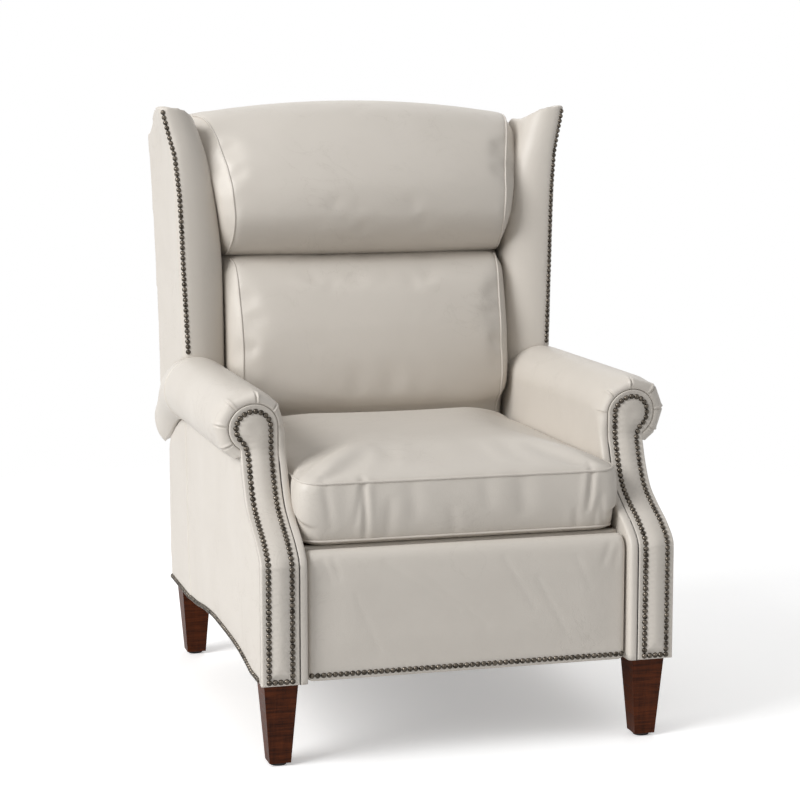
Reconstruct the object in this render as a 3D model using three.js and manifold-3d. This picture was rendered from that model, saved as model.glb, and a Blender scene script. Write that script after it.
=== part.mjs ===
import * as THREE from 'three';
import { mergeVertices } from 'three/addons/utils/BufferGeometryUtils.js';
import Module from 'manifold-3d';

// Wingback push-back recliner, in millimetres. The chair faces -Y, +X is its left side, +Z is up.
// The origin lies on the floor, in the middle of the chair's width and depth.

// Whole chair
const depth = 911;
const bodyWidth = 730;
const armThickness = 80;
const bodyBottom = 147;
const backOverhang = 33.7;
const touchGap = 0.3;
const slideGap = 2.5;
const cutOverrun = 4;

// Legs and glides
const legTopSize = 59;
const legBottomSize = 37;
const legSideInset = 37;
const legEndInset = 50;
const glideRadius = 14;
const glideHeight = 5;

// Arms
const rollRadius = 60;
const rollCentreInset = 20;
const rollCentreHeight = 560;
const rollNeckDrop = 53;
const rollDroop = 88;
const rollRearInset = 8;
const rollDroopInset = 235;
const rollRearReach = 16;
const rollEndInset = 13;
const armRake = 156;
const armLeafThickness = 14.7;
const armLeafBottom = 300;
const armWrapDepth = 70;
const outsideThickness = 12.7;
const archRise = 20;
const archStart = 84;
const archRearInset = 218;

// Arm front facings and nail trim
const facingThickness = 14;
const facingScrollRadius = 42.5;
const facingScrollHeight = 558;
const nailBandWidth = 9;
const nailBandProud = 2;
const nailRowInset = 12.5;

// Base rails, tracks and rear panel
const railSide = 28;
const railHeight = 40;
const railRise = 8;
const frontRailSetback = 397;
const rearRailInset = 50;
const trackWidth = 17;
const trackHeight = 26;
const trackWall = 3;
const trackLead = 25;
const panelThickness = 13;
const rearPanelTop = 419;

// Seat box and cushion
const seatBoxBoard = 18;
const seatBoxTop = 366;
const seatBoxFront = 70;
const seatBoxRearInset = 100;
const seatCrossHeight = 36;
const springWire = 4;
const springCount = 5;
const springWave = 30;
const springTurns = 6;
const deckThickness = 32;
const cushionFront = 52;
const cushionRearInset = 210;
const cushionHeight = 104;
const cushionCrown = 34;
const cushionCornerPull = 2;
const cushionEdge = 14;

// Footrest linkage
const linkThickness = 3.5;
const linkGap = 0.6;
const linkWidth = 20;
const pinRadius = 5;
const pinClearance = 0.3;
const rockerLength = 190;
const rockerSpacing = 75;
const armReach = 200;
const rockerPivotSetback = 145.5;
const rockerPivotHeight = 310;
const rockerRestAngle = 215;
const couplerAngle = 15;
const controlCrank = 50;
const tiltCrank = 70;
const tiltCrankAngle = 66;
const torqueTubeRadius = 7;
const sidePlateRear = 330;
const sideFlange = 3;

// Footrest
const footrestFront = 15;
const footrestThickness = 27;
const footrestBoard = 18;
const footrestBottom = 145;
const footrestTop = 365;
const footrestRound = 20;
const footrestBoardInset = 11;
const bracketFlange = 20;

// Back, on its hinge
const backLeanShare = 0.06;
const backTopHeight = 1090;
const backPanelThickness = 14;
const backPanelBottom = 440;
const backShoulder = 556;
const backTopRise = 35.5;
const backShoulderWidth = 744;
const postWidth = 34;
const postDepth = 34;
const postBottom = 405;
const postTopGap = 17.4;
const hingeHeight = 430;
const hingeInset = 18.8;
const hingePlate = 4;
const backRailHeight = 55;
const lowerBackRailBase = 470;

// Back pillows
const lumbarHalfWidth = 272;
const lumbarBottom = 445;
const lumbarTop = 806;
const lumbarDepth = 205;
const headBottom = 812;
const headRise = 16;
const headDepth = 203;
const headHalfWidth = 276;
const headFlare = 34;
const pillowCrown = 20;
const headTopArc = 28;
const headCoverShare = 0.9;

// Wings
const wingRollGap = 6;
const wingRise = 6;
const wingScoop = 54;
const wingFrontInset = 210;
const wingFrontRise = 28;
const wingNailLow = 362;
const wingNailHigh = 398;
const wingInnerWidth = 283;
const wingRootLow = 376;
const wingRootHigh = 396;
const wingNose = 34;
const wingLand = 13;

const front = nailBandProud + touchGap - depth / 2;
const halfBody = bodyWidth / 2;
const armInner = halfBody - armThickness;
const legHeight = bodyBottom - touchGap;
const rollX = halfBody - rollCentreInset;
const rollUnder = rollCentreHeight - rollNeckDrop;
const cushionBase = seatBoxTop + touchGap;
const bodyRear = depth / 2 - backOverhang;
const bodyDepth = bodyRear - front;
const wingTip = backTopHeight + wingRise;
const headTop = backTopHeight + headRise;
const armFrameInner = armInner + armLeafThickness + touchGap;
const armFrameOuter = halfBody - outsideThickness - touchGap;
const outsideInner = halfBody - outsideThickness;
const panelFront = bodyRear - panelThickness;
const armRear = panelFront - touchGap;

const leather = new THREE.MeshStandardMaterial({ color: 0xcdc5ba, roughness: 0.42, metalness: 0 });
const wood = new THREE.MeshStandardMaterial({ color: 0x4a2016, roughness: 0.35, metalness: 0 });
const frameWood = new THREE.MeshStandardMaterial({ color: 0xc7a878, roughness: 0.7, metalness: 0 });
const steel = new THREE.MeshStandardMaterial({ color: 0x3b3c3e, roughness: 0.4, metalness: 1 });
const nailMetal = new THREE.MeshStandardMaterial({ color: 0x5a5046, roughness: 0.35, metalness: 1 });
const plastic = new THREE.MeshStandardMaterial({ color: 0x1c1c1c, roughness: 0.5, metalness: 0 });
const webbing = new THREE.MeshStandardMaterial({ color: 0x2e2c2a, roughness: 0.9, metalness: 0 });

const wasm = await Module();
wasm.setup();

const lerp = THREE.MathUtils.lerp;
const radians = THREE.MathUtils.degToRad;
const vector = (x, y, z) => new THREE.Vector3(x, y, z);

// Reads a table of [share, value share] rows at a share between its first and last row.
function readShares(table, share) {
  for (let row = 1; row < table.length; row += 1) {
    const [low, lowValue] = table[row - 1];
    const [high, highValue] = table[row];
    if (share <= high) return lerp(lowValue, highValue, Math.max(0, (share - low) / (high - low)));
  }
  return table[table.length - 1][1];
}

function flipIfInsideOut(positions, index) {
  let volume = 0;
  for (let t = 0; t < index.length; t += 3) {
    const [a, b, c] = [positions[index[t]], positions[index[t + 1]], positions[index[t + 2]]];
    volume += a.dot(b.clone().cross(c));
  }
  if (volume > 0) return;
  for (let t = 0; t < index.length; t += 3) [index[t], index[t + 1]] = [index[t + 1], index[t]];
}

// Skins closed rings of equal count. Each end is closed by zipping point j to its mate, count - 1 - j.
function loft(rings) {
  const count = rings[0].length;
  const positions = rings.flat();
  const index = [];
  for (let i = 0; i + 1 < rings.length; i += 1) {
    for (let j = 0; j < count; j += 1) {
      const [a, b] = [i * count + j, i * count + ((j + 1) % count)];
      index.push(a, b, b + count, a, b + count, a + count);
    }
  }
  const last = (rings.length - 1) * count;
  for (let j = 0; j + 1 < count / 2; j += 1) {
    const quad = [j, j + 1, count - 2 - j, count - 1 - j];
    for (const [p, q, r] of [[0, 1, 2], [0, 2, 3]]) {
      index.push(quad[p], quad[r], quad[q]);
      index.push(last + quad[p], last + quad[q], last + quad[r]);
    }
  }
  flipIfInsideOut(positions, index);
  const geometry = new THREE.BufferGeometry().setFromPoints(positions);
  geometry.setIndex(index);
  geometry.computeVertexNormals();
  return geometry;
}

function mirrored(geometry) {
  const copy = geometry.index ? geometry.clone() : mergeVertices(bareCopy(geometry));
  copy.scale(-1, 1, 1);
  const index = copy.index.array;
  for (let t = 0; t < index.length; t += 3) [index[t], index[t + 1]] = [index[t + 1], index[t]];
  copy.computeVertexNormals();
  return copy;
}

function bareCopy(geometry) {
  const copy = geometry.clone();
  for (const name of ['normal', 'uv']) if (copy.getAttribute(name)) copy.deleteAttribute(name);
  return copy;
}

function solid(geometry) {
  const merged = mergeVertices(bareCopy(geometry));
  return new wasm.Manifold(new wasm.Mesh({
    numProp: 3,
    vertProperties: new Float32Array(merged.attributes.position.array),
    triVerts: new Uint32Array(merged.index.array),
  }));
}

function surface(body) {
  const mesh = body.getMesh();
  const geometry = new THREE.BufferGeometry();
  geometry.setAttribute('position', new THREE.BufferAttribute(new Float32Array(mesh.vertProperties), 3));
  geometry.setIndex(new THREE.BufferAttribute(new Uint32Array(mesh.triVerts), 1));
  geometry.computeVertexNormals();
  return geometry;
}

// Cuts a neighbour out of a piece, once per shift, so that a gap of that shift stays between them.
function carved(geometry, neighbour, shifts) {
  let body = solid(geometry);
  for (const [x, y, z] of shifts) {
    const cutter = neighbour.clone();
    cutter.translate(x, y, z);
    body = body.subtract(solid(cutter));
  }
  return surface(body.decompose().sort((a, b) => b.volume() - a.volume())[0]);
}

// A box between two corners.
function block(low, high) {
  const geometry = new THREE.BoxGeometry(...high.map((value, axis) => value - low[axis]));
  geometry.translate(...high.map((value, axis) => (value + low[axis]) / 2));
  return geometry;
}

// A (y, z) outline given as a THREE.Shape, made thick along X from one plane to another.
function plate(shape, fromX, toX) {
  const geometry = new THREE.ExtrudeGeometry(shape, { depth: toX - fromX, bevelEnabled: false });
  geometry.applyMatrix4(new THREE.Matrix4().makeBasis(vector(0, 1, 0), vector(0, 0, 1), vector(1, 0, 0)));
  geometry.translate(fromX, 0, 0);
  return geometry;
}

// A round pin or tube along X.
function pin(y, z, radius, fromX, toX, sides = 20) {
  const geometry = new THREE.CylinderGeometry(radius, radius, toX - fromX, sides);
  geometry.rotateZ(Math.PI / 2);
  geometry.translate((fromX + toX) / 2, y, z);
  return geometry;
}

const chair = new THREE.Group();

function add(name, geometry, material) {
  const mesh = new THREE.Mesh(geometry, material);
  mesh.name = name;
  chair.add(mesh);
}

function addPair(name, leftGeometry, material) {
  add(`${name}_left`, leftGeometry, material);
  add(`${name}_right`, mirrored(leftGeometry), material);
}

// Legs: square tapered blocks under the arms, each on a small glide.
function legs() {
  const legX = halfBody - legSideInset;
  const ends = { front: front + legEndInset, rear: bodyRear - legEndInset };
  for (const [end, legY] of Object.entries(ends)) {
    const square = (size, z) => [[-1, -1], [1, -1], [1, 1], [-1, 1]]
      .map(([sx, sy]) => vector(legX + sx * size / 2, legY + sy * size / 2, z));
    const leg = loft([square(legBottomSize, glideHeight + touchGap), square(legTopSize, legHeight)]);
    const glide = new THREE.CylinderGeometry(glideRadius, glideRadius, glideHeight, 24);
    glide.rotateX(Math.PI / 2);
    glide.translate(legX, legY, glideHeight / 2);
    addPair(`${end}_leg`, leg, wood);
    addPair(`${end}_leg_glide`, glide, plastic);
  }
}

// The arm's front rakes back in an S: [share of the arm's height, share of the rake].
const rakeShares = [[0, 0], [0.419, 0], [0.445, 0.03], [0.497, 0.21], [0.548, 0.48], [0.6, 0.71],
  [0.664, 0.846], [0.729, 0.936], [0.797, 1], [0.863, 1], [0.937, 0.95], [1, 0.88]];
const rollTop = rollCentreHeight + rollRadius;
const armHeight = rollTop - bodyBottom;
const armFrontAt = (z) => front + armRake * readShares(rakeShares, (z - bodyBottom) / armHeight);

// The roll falls towards the rear of the arm: [share of the way to the rear, share of the droop].
const droopShares = [[0, 0], [0.25, 0.08], [0.5, 0.3], [0.75, 0.65], [1, 1]];
const droopStart = bodyRear - rollDroopInset;
const droopAt = (y) => rollDroop * readShares(droopShares,
  (y - droopStart) / (bodyRear + rollRearReach - droopStart));
const armRearAt = (z) => (z < rearPanelTop + rollEndInset ? armRear : bodyRear + rollRearReach);

// Stations along the arm as shares of its length, front to rear.
const stationShares = [0, 0.012, 0.03, 0.07, 0.12, 0.35, 0.62, 0.7, 0.78, 0.86, 0.94, 1];

function armStationY(share, z, frontGap) {
  return lerp(armFrontAt(z) + frontGap, armRearAt(z), share);
}

// Arm pad: the inside arm and the roll over the top, one sewn and stuffed piece.
function armPad() {
  const leafShares = [0, 0.25, 0.55, 0.653, 0.719, 0.789, 0.872, 1];
  const arcSteps = 11;
  const arcEnd = -62;
  const endInsetShares = [1, 0.35];
  const rings = stationShares.map((share, station) => {
    const radius = rollRadius - rollEndInset * (endInsetShares[station] ?? 0);
    const droop = droopAt(armStationY(share, rollUnder, facingThickness + touchGap));
    const wrapped = share * bodyDepth < armWrapDepth;
    const leafBase = wrapped ? bodyBottom : armLeafBottom;
    const point = (x, z, frontGap) => vector(x, armStationY(share, z, frontGap), z);
    const leafTop = rollUnder - droop;
    const backGap = facingThickness + touchGap;
    const inner = leafShares.map((s) => point(armInner, lerp(leafBase, leafTop, s), slideGap));
    const outer = leafShares.map((s) => point(armInner + armLeafThickness, lerp(leafBase, leafTop, s), slideGap));
    const over = [];
    const under = [];
    for (let k = 1; k <= arcSteps; k += 1) {
      const angle = radians(lerp(180, arcEnd, (k - 1) / (arcSteps - 1)));
      const outward = Math.max(0, Math.cos(angle));
      const x = rollX + radius * Math.cos(angle) - rollRearInset * outward * droop / rollDroop;
      const z = Math.max(rollCentreHeight - droop + radius * Math.sin(angle), leafTop);
      over.push(point(x, z, backGap));
      const underX = lerp(armInner + armLeafThickness, halfBody, k / arcSteps);
      under.push(point(underX, leafTop, backGap));
    }
    return [...inner, ...over, ...under.reverse(), ...outer.reverse()];
  });
  return loft(rings);
}

// The arm's side outline inside its covers, in (y, z), with the arch along its bottom edge.
function armSideShape(frontGap, topGap, rearY) {
  const shape = new THREE.Shape();
  const archFront = front + archStart;
  const archRear = bodyRear - archRearInset;
  shape.moveTo(armFrontAt(bodyBottom) + frontGap, bodyBottom);
  shape.lineTo(archFront, bodyBottom);
  const archShares = [[0.1, 0.45], [0.22, 0.8], [0.4, 0.97], [0.55, 1], [0.72, 0.72], [0.88, 0.22], [1, 0]];
  for (const [along, rise] of archShares) {
    shape.lineTo(lerp(archFront, archRear, along), bodyBottom + archRise * rise);
  }
  shape.lineTo(rearY, bodyBottom);
  const rearTop = rollUnder - droopAt(rearY) - topGap;
  shape.lineTo(rearY, rearTop);
  for (const share of [...stationShares].reverse()) {
    const y = armStationY(share, rollUnder, facingThickness + touchGap);
    if (y < rearY - cutOverrun && share > 0.5) shape.lineTo(y, rollUnder - droopAt(y) - topGap);
  }
  const topZ = rollUnder - topGap;
  shape.lineTo(armFrontAt(topZ) + frontGap, topZ);
  for (const [share] of [...rakeShares].reverse()) {
    const z = bodyBottom + armHeight * share;
    if (share > 0 && z < topZ - cutOverrun) shape.lineTo(armFrontAt(z) + frontGap, z);
  }
  return shape;
}

// Arm front facing: a padded board with a scroll at its top, bent to the rake.
const facingInner = armInner + armLeafThickness + 2 * touchGap;
const scrollX = facingInner + facingScrollRadius;
const facingTop = facingScrollHeight + facingScrollRadius;

function facingEdges(z) {
  const lift = z - facingScrollHeight;
  const chord = Math.sqrt(Math.max(0, facingScrollRadius ** 2 - lift ** 2));
  const inner = lift > 0 ? scrollX - chord : facingInner;
  return [inner, lift > 0 ? scrollX + chord : Math.max(halfBody, scrollX + chord)];
}

function armFacing() {
  const heights = rakeShares.map(([share]) => bodyBottom + armHeight * share);
  const scrollShares = [-0.85, -0.6, -0.3, 0, 0.3, 0.55, 0.75, 0.88, 0.96];
  const scroll = scrollShares.map((share) => facingScrollHeight + facingScrollRadius * share);
  const levels = [...heights.filter((z) => z < scroll[0] - cutOverrun), ...scroll];
  return loft(levels.map((z) => {
    const [inner, outer] = facingEdges(z);
    const y = armFrontAt(z);
    return [vector(inner, y, z), vector(outer, y, z), vector(outer, y + facingThickness, z),
      vector(inner, y + facingThickness, z)];
  }));
}

// Nail trim: one closed band round the facing, a nail row's width, a few millimetres inside its edge.
function facingNailBand(facing) {
  const middle = [];
  const base = bodyBottom + nailRowInset / 2;
  const innerX = facingInner + nailRowInset;
  const outerX = halfBody - nailRowInset;
  const ringRadius = facingScrollRadius - nailRowInset;
  const neck = facingScrollHeight - ringRadius;
  const knots = rakeShares.map(([share]) => bodyBottom + armHeight * share).filter((z) => z > base);
  const rows = (top) => [base, ...knots.filter((z) => z < top - nailBandWidth), top];
  for (const z of rows(facingScrollHeight)) middle.push([innerX, z]);
  const scrollTurn = 160;
  const scrollSteps = 8;
  for (let step = 0; step <= scrollSteps; step += 1) {
    const angle = radians(lerp(scrollTurn, 0, step / scrollSteps));
    middle.push([scrollX + ringRadius * Math.cos(angle), facingScrollHeight + ringRadius * Math.sin(angle)]);
  }
  for (const z of rows(neck).reverse()) middle.push([outerX, z]);
  const bottomShares = [0.75, 0.5, 0.25];
  for (const share of bottomShares) middle.push([lerp(innerX, outerX, share), base]);
  const count = middle.length;
  const rings = middle.map(([x, z], k) => {
    const [nextX, nextZ] = middle[(k + 1) % count];
    const [lastX, lastZ] = middle[(k + count - 1) % count];
    const along = new THREE.Vector2(nextX - lastX, nextZ - lastZ).normalize();
    const half = nailBandWidth / 2;
    return [[-1, -1], [1, -1], [1, 1], [-1, 1]].map(([side, deep]) => {
      const [px, pz] = [x + side * half * along.y, z - side * half * along.x];
      const y = armFrontAt(pz) + (deep > 0 ? cutOverrun : -nailBandProud - touchGap);
      return vector(px, y, pz);
    });
  });
  return carved(loftLoop(rings), facing, [[0, -touchGap, 0], [0, facingThickness - 2 * touchGap, 0]]);
}

// Skins a closed chain of rings, with no ends.
function loftLoop(rings) {
  const count = rings[0].length;
  const total = rings.length * count;
  const positions = rings.flat();
  const index = [];
  for (let i = 0; i < rings.length; i += 1) {
    for (let j = 0; j < count; j += 1) {
      const [a, b] = [i * count + j, i * count + ((j + 1) % count)];
      index.push(a, b, (b + count) % total, a, (b + count) % total, (a + count) % total);
    }
  }
  flipIfInsideOut(positions, index);
  const geometry = new THREE.BufferGeometry().setFromPoints(positions);
  geometry.setIndex(index);
  geometry.computeVertexNormals();
  return geometry;
}

function arms() {
  const rear = armRear;
  const frame = plate(armSideShape(facingThickness + touchGap, touchGap, rear), armFrameInner, armFrameOuter);
  const outside = plate(armSideShape(facingThickness + touchGap, touchGap, rear), outsideInner, halfBody);
  const facing = armFacing();
  const pad = carved(armPad(), facing, [[0, touchGap, 0], [0, 0, touchGap]]);
  addPair('arm_frame', carved(frame, pad, [[0, 0, -touchGap], [0, touchGap, 0]]), frameWood);
  addPair('outside_arm', carved(outside, pad, [[0, 0, -touchGap], [0, touchGap, 0]]), leather);
  addPair('arm_pad', pad, leather);
  addPair('arm_facing', facing, leather);
  addPair('facing_nail_band', facingNailBand(facing), nailMetal);
  return pad;
}

// Base: two cross rails between the arm frames, and a steel track on each side for the seat to slide on.
const railBase = bodyBottom + railRise;
const railTop = railBase + railHeight;
const trackOuter = armInner - touchGap - slideGap / 2;
const trackInner = trackOuter - trackWidth;
const trackBase = railTop + touchGap;
const trackTop = trackBase + trackHeight;

function baseRails() {
  const halfRail = armFrameInner - touchGap;
  const places = { front: front + frontRailSetback, rear: bodyRear - rearRailInset };
  for (const [end, y] of Object.entries(places)) {
    add(`${end}_base_rail`, block([-halfRail, y, railBase], [halfRail, y + railSide, railTop]), frameWood);
  }
  const trackStart = places.front - trackLead;
  const trackEnd = places.rear + railSide;
  const bar = solid(block([trackInner, trackStart, trackBase], [trackOuter, trackEnd, trackTop]));
  const groove = solid(block([trackInner - cutOverrun, trackStart - cutOverrun, trackBase + trackWall],
    [trackOuter - trackWall, trackEnd + cutOverrun, trackTop - trackWall]));
  addPair('seat_track', surface(bar.subtract(groove)), steel);
  add('rear_panel', block([-halfBody, panelFront, bodyBottom], [halfBody, bodyRear, rearPanelTop]), leather);
}

// Seat box: side boards on the tracks, cross boards, springs and a deck pad under the cushion.
const boxOuter = trackOuter;
const boxInner = boxOuter - seatBoxBoard;
const boxBase = trackTop + 2 * touchGap + sideFlange;
const boxFrontY = front + seatBoxFront;
const boxRearY = bodyRear - seatBoxRearInset;
const crossBase = seatBoxTop - seatCrossHeight;
const springLevel = seatBoxTop - deckThickness - touchGap - springWire;
const sidePlateTop = springLevel - springWire - touchGap;

function springSet() {
  const half = boxInner - touchGap;
  const startY = boxFrontY + seatBoxBoard + touchGap;
  const endY = boxRearY - seatBoxBoard - touchGap;
  const rodSides = 8;
  const stepsPerTurn = 8;
  const rods = [startY + springWire, endY - springWire]
    .map((y) => pin(y, springLevel, springWire, -half, half, rodSides));
  let body = solid(rods[0]).add(solid(rods[1]));
  const section = new THREE.Shape();
  section.moveTo(-springWire / 2, -springWire / 2);
  section.lineTo(springWire / 2, -springWire / 2);
  section.lineTo(springWire / 2, springWire / 2);
  section.lineTo(-springWire / 2, springWire / 2);
  for (let row = 0; row < springCount; row += 1) {
    const middle = lerp(-half, half, (row + 1) / (springCount + 1));
    const points = [vector(middle, startY + springWire, springLevel)];
    for (let turn = 1; turn < 2 * springTurns; turn += 1) {
      const side = turn % 2 === 0 ? springWave : -springWave;
      points.push(vector(middle + side, lerp(startY, endY, turn / (2 * springTurns)), springLevel));
    }
    points.push(vector(middle, endY - springWire, springLevel));
    const path = new THREE.CatmullRomCurve3(points, false, 'catmullrom', 0.5);
    const wire = new THREE.ExtrudeGeometry(section, { steps: stepsPerTurn * springTurns, extrudePath: path });
    body = body.add(solid(wire));
  }
  return surface(body);
}

// A boxed cushion: rings round a rounded rectangle, from the middle of its base to the top of its crown.
// Each row: [inset in edges, height share, crown share].
function boxedCushion(low, high, edge, crown, pull) {
  const profileShares = [[9, 0, 0], [3, 0, 0], [1, 0, 0], [0.15, 0.04, 0], [0, 0.1, 0], [0.5, 0.25, 0],
    [0.7, 0.5, 0], [0.5, 0.78, 0], [0, 0.93, 0], [0.12, 0.99, 0.02], [1, 1, 0.16], [2.4, 1, 0.4],
    [4.5, 1, 0.65], [7.5, 1, 0.87], [11, 1, 0.97]];
  const sides = 44;
  const squareness = 16;
  const [halfX, halfY] = [(high[0] - low[0]) / 2, (high[1] - low[1]) / 2];
  const [midX, midY] = [(high[0] + low[0]) / 2, (high[1] + low[1]) / 2];
  const height = high[2] - low[2];
  return loft(profileShares.map(([inset, heightShare, crownShare]) => {
    const ring = [];
    for (let j = 0; j < sides; j += 1) {
      const angle = (j + 0.5) * 2 * Math.PI / sides;
      const [c, s] = [Math.cos(angle), Math.sin(angle)];
      const reach = (Math.abs(c) ** squareness + Math.abs(s) ** squareness) ** (-1 / squareness);
      const [u, v] = [c * reach, s * reach];
      const drawnX = pull * (1 - v * v) + inset * edge;
      const drawnY = pull * (1 - u * u) + inset * edge;
      ring.push(vector(midX + u * (halfX - drawnX), midY + v * (halfY - drawnY),
        low[2] + height * heightShare + crown * crownShare));
    }
    return ring;
  }));
}

function seatBox() {
  const sideShape = block([boxInner, boxFrontY, boxBase], [boxOuter, boxRearY, seatBoxTop]);
  addPair('seat_box_side', sideShape, frameWood);
  const halfCross = boxInner - touchGap;
  add('seat_box_front', block([-halfCross, boxFrontY, crossBase],
    [halfCross, boxFrontY + seatBoxBoard, seatBoxTop]), frameWood);
  add('seat_box_rear', block([-halfCross, boxRearY - seatBoxBoard, crossBase - seatCrossHeight],
    [halfCross, boxRearY, seatBoxTop]), frameWood);
  add('seat_springs', springSet(), steel);
  add('seat_deck', block([-halfCross, boxFrontY + seatBoxBoard + touchGap, seatBoxTop - deckThickness],
    [halfCross, boxRearY - seatBoxBoard - touchGap, seatBoxTop]), webbing);
  const halfCushion = armInner - slideGap;
  add('seat_cushion', boxedCushion([-halfCushion, front + cushionFront, cushionBase],
    [halfCushion, bodyRear - cushionRearInset, cushionBase + cushionHeight], cushionEdge, cushionCrown,
  cushionCornerPull), leather);
}

// Footrest linkage, in a stack of flat steel layers inside each seat box side. In side view the
// direction of an angle counts from straight ahead of the chair, turning up.
const layerOuter = (layer) => boxInner - touchGap - layer * (linkThickness + linkGap);
const layerInner = (layer) => layerOuter(layer) - linkThickness;
const ahead = ([y, z], reach, angle) => [y - reach * Math.cos(radians(angle)), z + reach * Math.sin(radians(angle))];
const frontPivot = [front + rockerPivotSetback, rockerPivotHeight];
const rearPivot = ahead(frontPivot, -rockerSpacing, couplerAngle);
const frontKnee = ahead(frontPivot, rockerLength, rockerRestAngle);
const rearKnee = ahead(rearPivot, rockerLength, rockerRestAngle);
const tiltPivot = ahead(frontKnee, armReach, couplerAngle);
const crankPivot = ahead(frontKnee, -controlCrank, rockerRestAngle);
const controlEnd = ahead(tiltPivot, tiltCrank, tiltCrankAngle);

// A flat bar with round ends between two points.
function barShape(from, to, width) {
  const angle = Math.atan2(to[1] - from[1], to[0] - from[0]);
  const shape = new THREE.Shape();
  shape.absarc(from[0], from[1], width / 2, angle + Math.PI / 2, angle + 3 * Math.PI / 2, false);
  shape.absarc(to[0], to[1], width / 2, angle - Math.PI / 2, angle + Math.PI / 2, false);
  return shape;
}

function link(layer, from, to, holes, pins) {
  const [x0, x1] = [layerInner(layer), layerOuter(layer)];
  let body = solid(plate(barShape(from, to, linkWidth), x0, x1));
  for (const [y, z] of holes) {
    body = body.subtract(solid(pin(y, z, pinRadius + pinClearance, x0 - cutOverrun, x1 + cutOverrun)));
  }
  for (const [[y, z], toLayer] of pins) {
    const reachesOut = toLayer < layer;
    const [p0, p1] = reachesOut ? [x0 + touchGap, layerOuter(toLayer)] : [layerInner(toLayer), x1 - touchGap];
    body = body.add(solid(pin(y, z, pinRadius, p0, p1)));
  }
  return surface(body);
}

// The side plate stands on the track by a flange and carries both rocker pivots.
function sidePlate() {
  const shape = new THREE.Shape();
  const plateFront = boxFrontY + seatBoxBoard / 2;
  const plateRear = depth / 2 - sidePlateRear;
  const low = trackTop + touchGap;
  shape.moveTo(plateFront, low);
  shape.lineTo(plateRear, low);
  shape.lineTo(plateRear, low + trackHeight);
  shape.lineTo(rearPivot[0] + rockerSpacing, sidePlateTop - trackHeight);
  shape.lineTo(rearPivot[0] + linkWidth, sidePlateTop);
  shape.lineTo(plateFront, sidePlateTop);
  let body = solid(plate(shape, layerInner(0), layerOuter(0)));
  const flange = block([layerInner(0), plateFront, low], [boxOuter, plateRear, low + sideFlange]);
  body = body.add(solid(flange));
  for (const [y, z] of [frontPivot, rearPivot]) {
    const hole = pin(y, z, pinRadius + pinClearance, layerInner(0) - cutOverrun, layerOuter(0) + cutOverrun);
    body = body.subtract(solid(hole));
  }
  return surface(body);
}

function footrestBracket() {
  const shape = new THREE.Shape();
  const faceY = front + footrestFront + footrestThickness + footrestBoard + 2 * touchGap;
  const half = linkWidth / 2;
  shape.moveTo(faceY, tiltPivot[1] - linkWidth);
  shape.lineTo(tiltPivot[0] + half, tiltPivot[1] - half);
  shape.lineTo(tiltPivot[0] + half, tiltPivot[1] + half);
  shape.lineTo(controlEnd[0] + half, controlEnd[1] + half);
  shape.lineTo(faceY, controlEnd[1] + half);
  let body = solid(plate(shape, layerInner(3), layerOuter(3)));
  const flange = block([layerInner(3), faceY, tiltPivot[1] - linkWidth],
    [layerInner(3) + bracketFlange, faceY + sideFlange, controlEnd[1] + half]);
  body = body.add(solid(flange));
  body = body.add(solid(pin(tiltPivot[0], tiltPivot[1], pinRadius, layerInner(3) + touchGap, layerOuter(2))));
  return surface(body);
}

function linkage() {
  addPair('seat_side_plate', sidePlate(), steel);
  addPair('front_rocker', link(1, frontPivot, frontKnee, [crankPivot], [[frontPivot, 0], [frontKnee, 2]]), steel);
  addPair('rear_rocker', link(1, rearPivot, rearKnee, [], [[rearPivot, 0], [rearKnee, 2]]), steel);
  addPair('ottoman_arm', link(2, rearKnee, tiltPivot, [rearKnee, frontKnee, tiltPivot], []), steel);
  addPair('footrest_bracket', footrestBracket(), steel);
  addPair('control_link', link(4, crankPivot, controlEnd, [], [[crankPivot, 1]]), steel);
  const tubeEnd = layerInner(1) - touchGap;
  add('torque_tube', pin(frontPivot[0], frontPivot[1], torqueTubeRadius, -tubeEnd, tubeEnd, 24), steel);
}

// Footrest: a board with a padded leather face that closes the chair's front.
function footrest() {
  const halfPad = armInner - slideGap;
  const faceY = front + footrestFront;
  const backY = faceY + footrestThickness;
  const roundSteps = 4;
  const outline = (inset) => {
    const [low, high, near] = [footrestBottom + inset, footrestTop - inset, faceY + inset];
    const arc = [];
    for (let step = 0; step <= roundSteps; step += 1) {
      const angle = Math.PI / 2 * step / roundSteps;
      arc.push([near + footrestRound * (1 - Math.sin(angle)), high - footrestRound * (1 - Math.cos(angle))]);
    }
    return [[backY, high], ...arc, [near, low + footrestRound / 2], [near + footrestRound / 5, low], [backY, low]];
  };
  const edge = footrestRound / 4;
  const stations = [[-halfPad, edge], [edge - halfPad, 0], [halfPad - edge, 0], [halfPad, edge]];
  add('footrest_pad', loft(stations.map(([x, inset]) => outline(inset).map(([y, z]) => vector(x, y, z)))), leather);
  const boardY = backY + touchGap;
  add('footrest_board', block([footrestBoardInset - halfPad, boardY, footrestBottom + footrestBoardInset],
    [halfPad - footrestBoardInset, boardY + footrestBoard, footrestTop - footrestBoardInset]), frameWood);
  const bandLow = footrestBottom + footrestRound / 2;
  const bandHalf = halfPad - edge - touchGap;
  add('footrest_nail_band', block([-bandHalf, faceY - touchGap - nailBandProud, bandLow],
    [bandHalf, faceY - touchGap, bandLow + nailBandWidth]), nailMetal);
}

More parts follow.
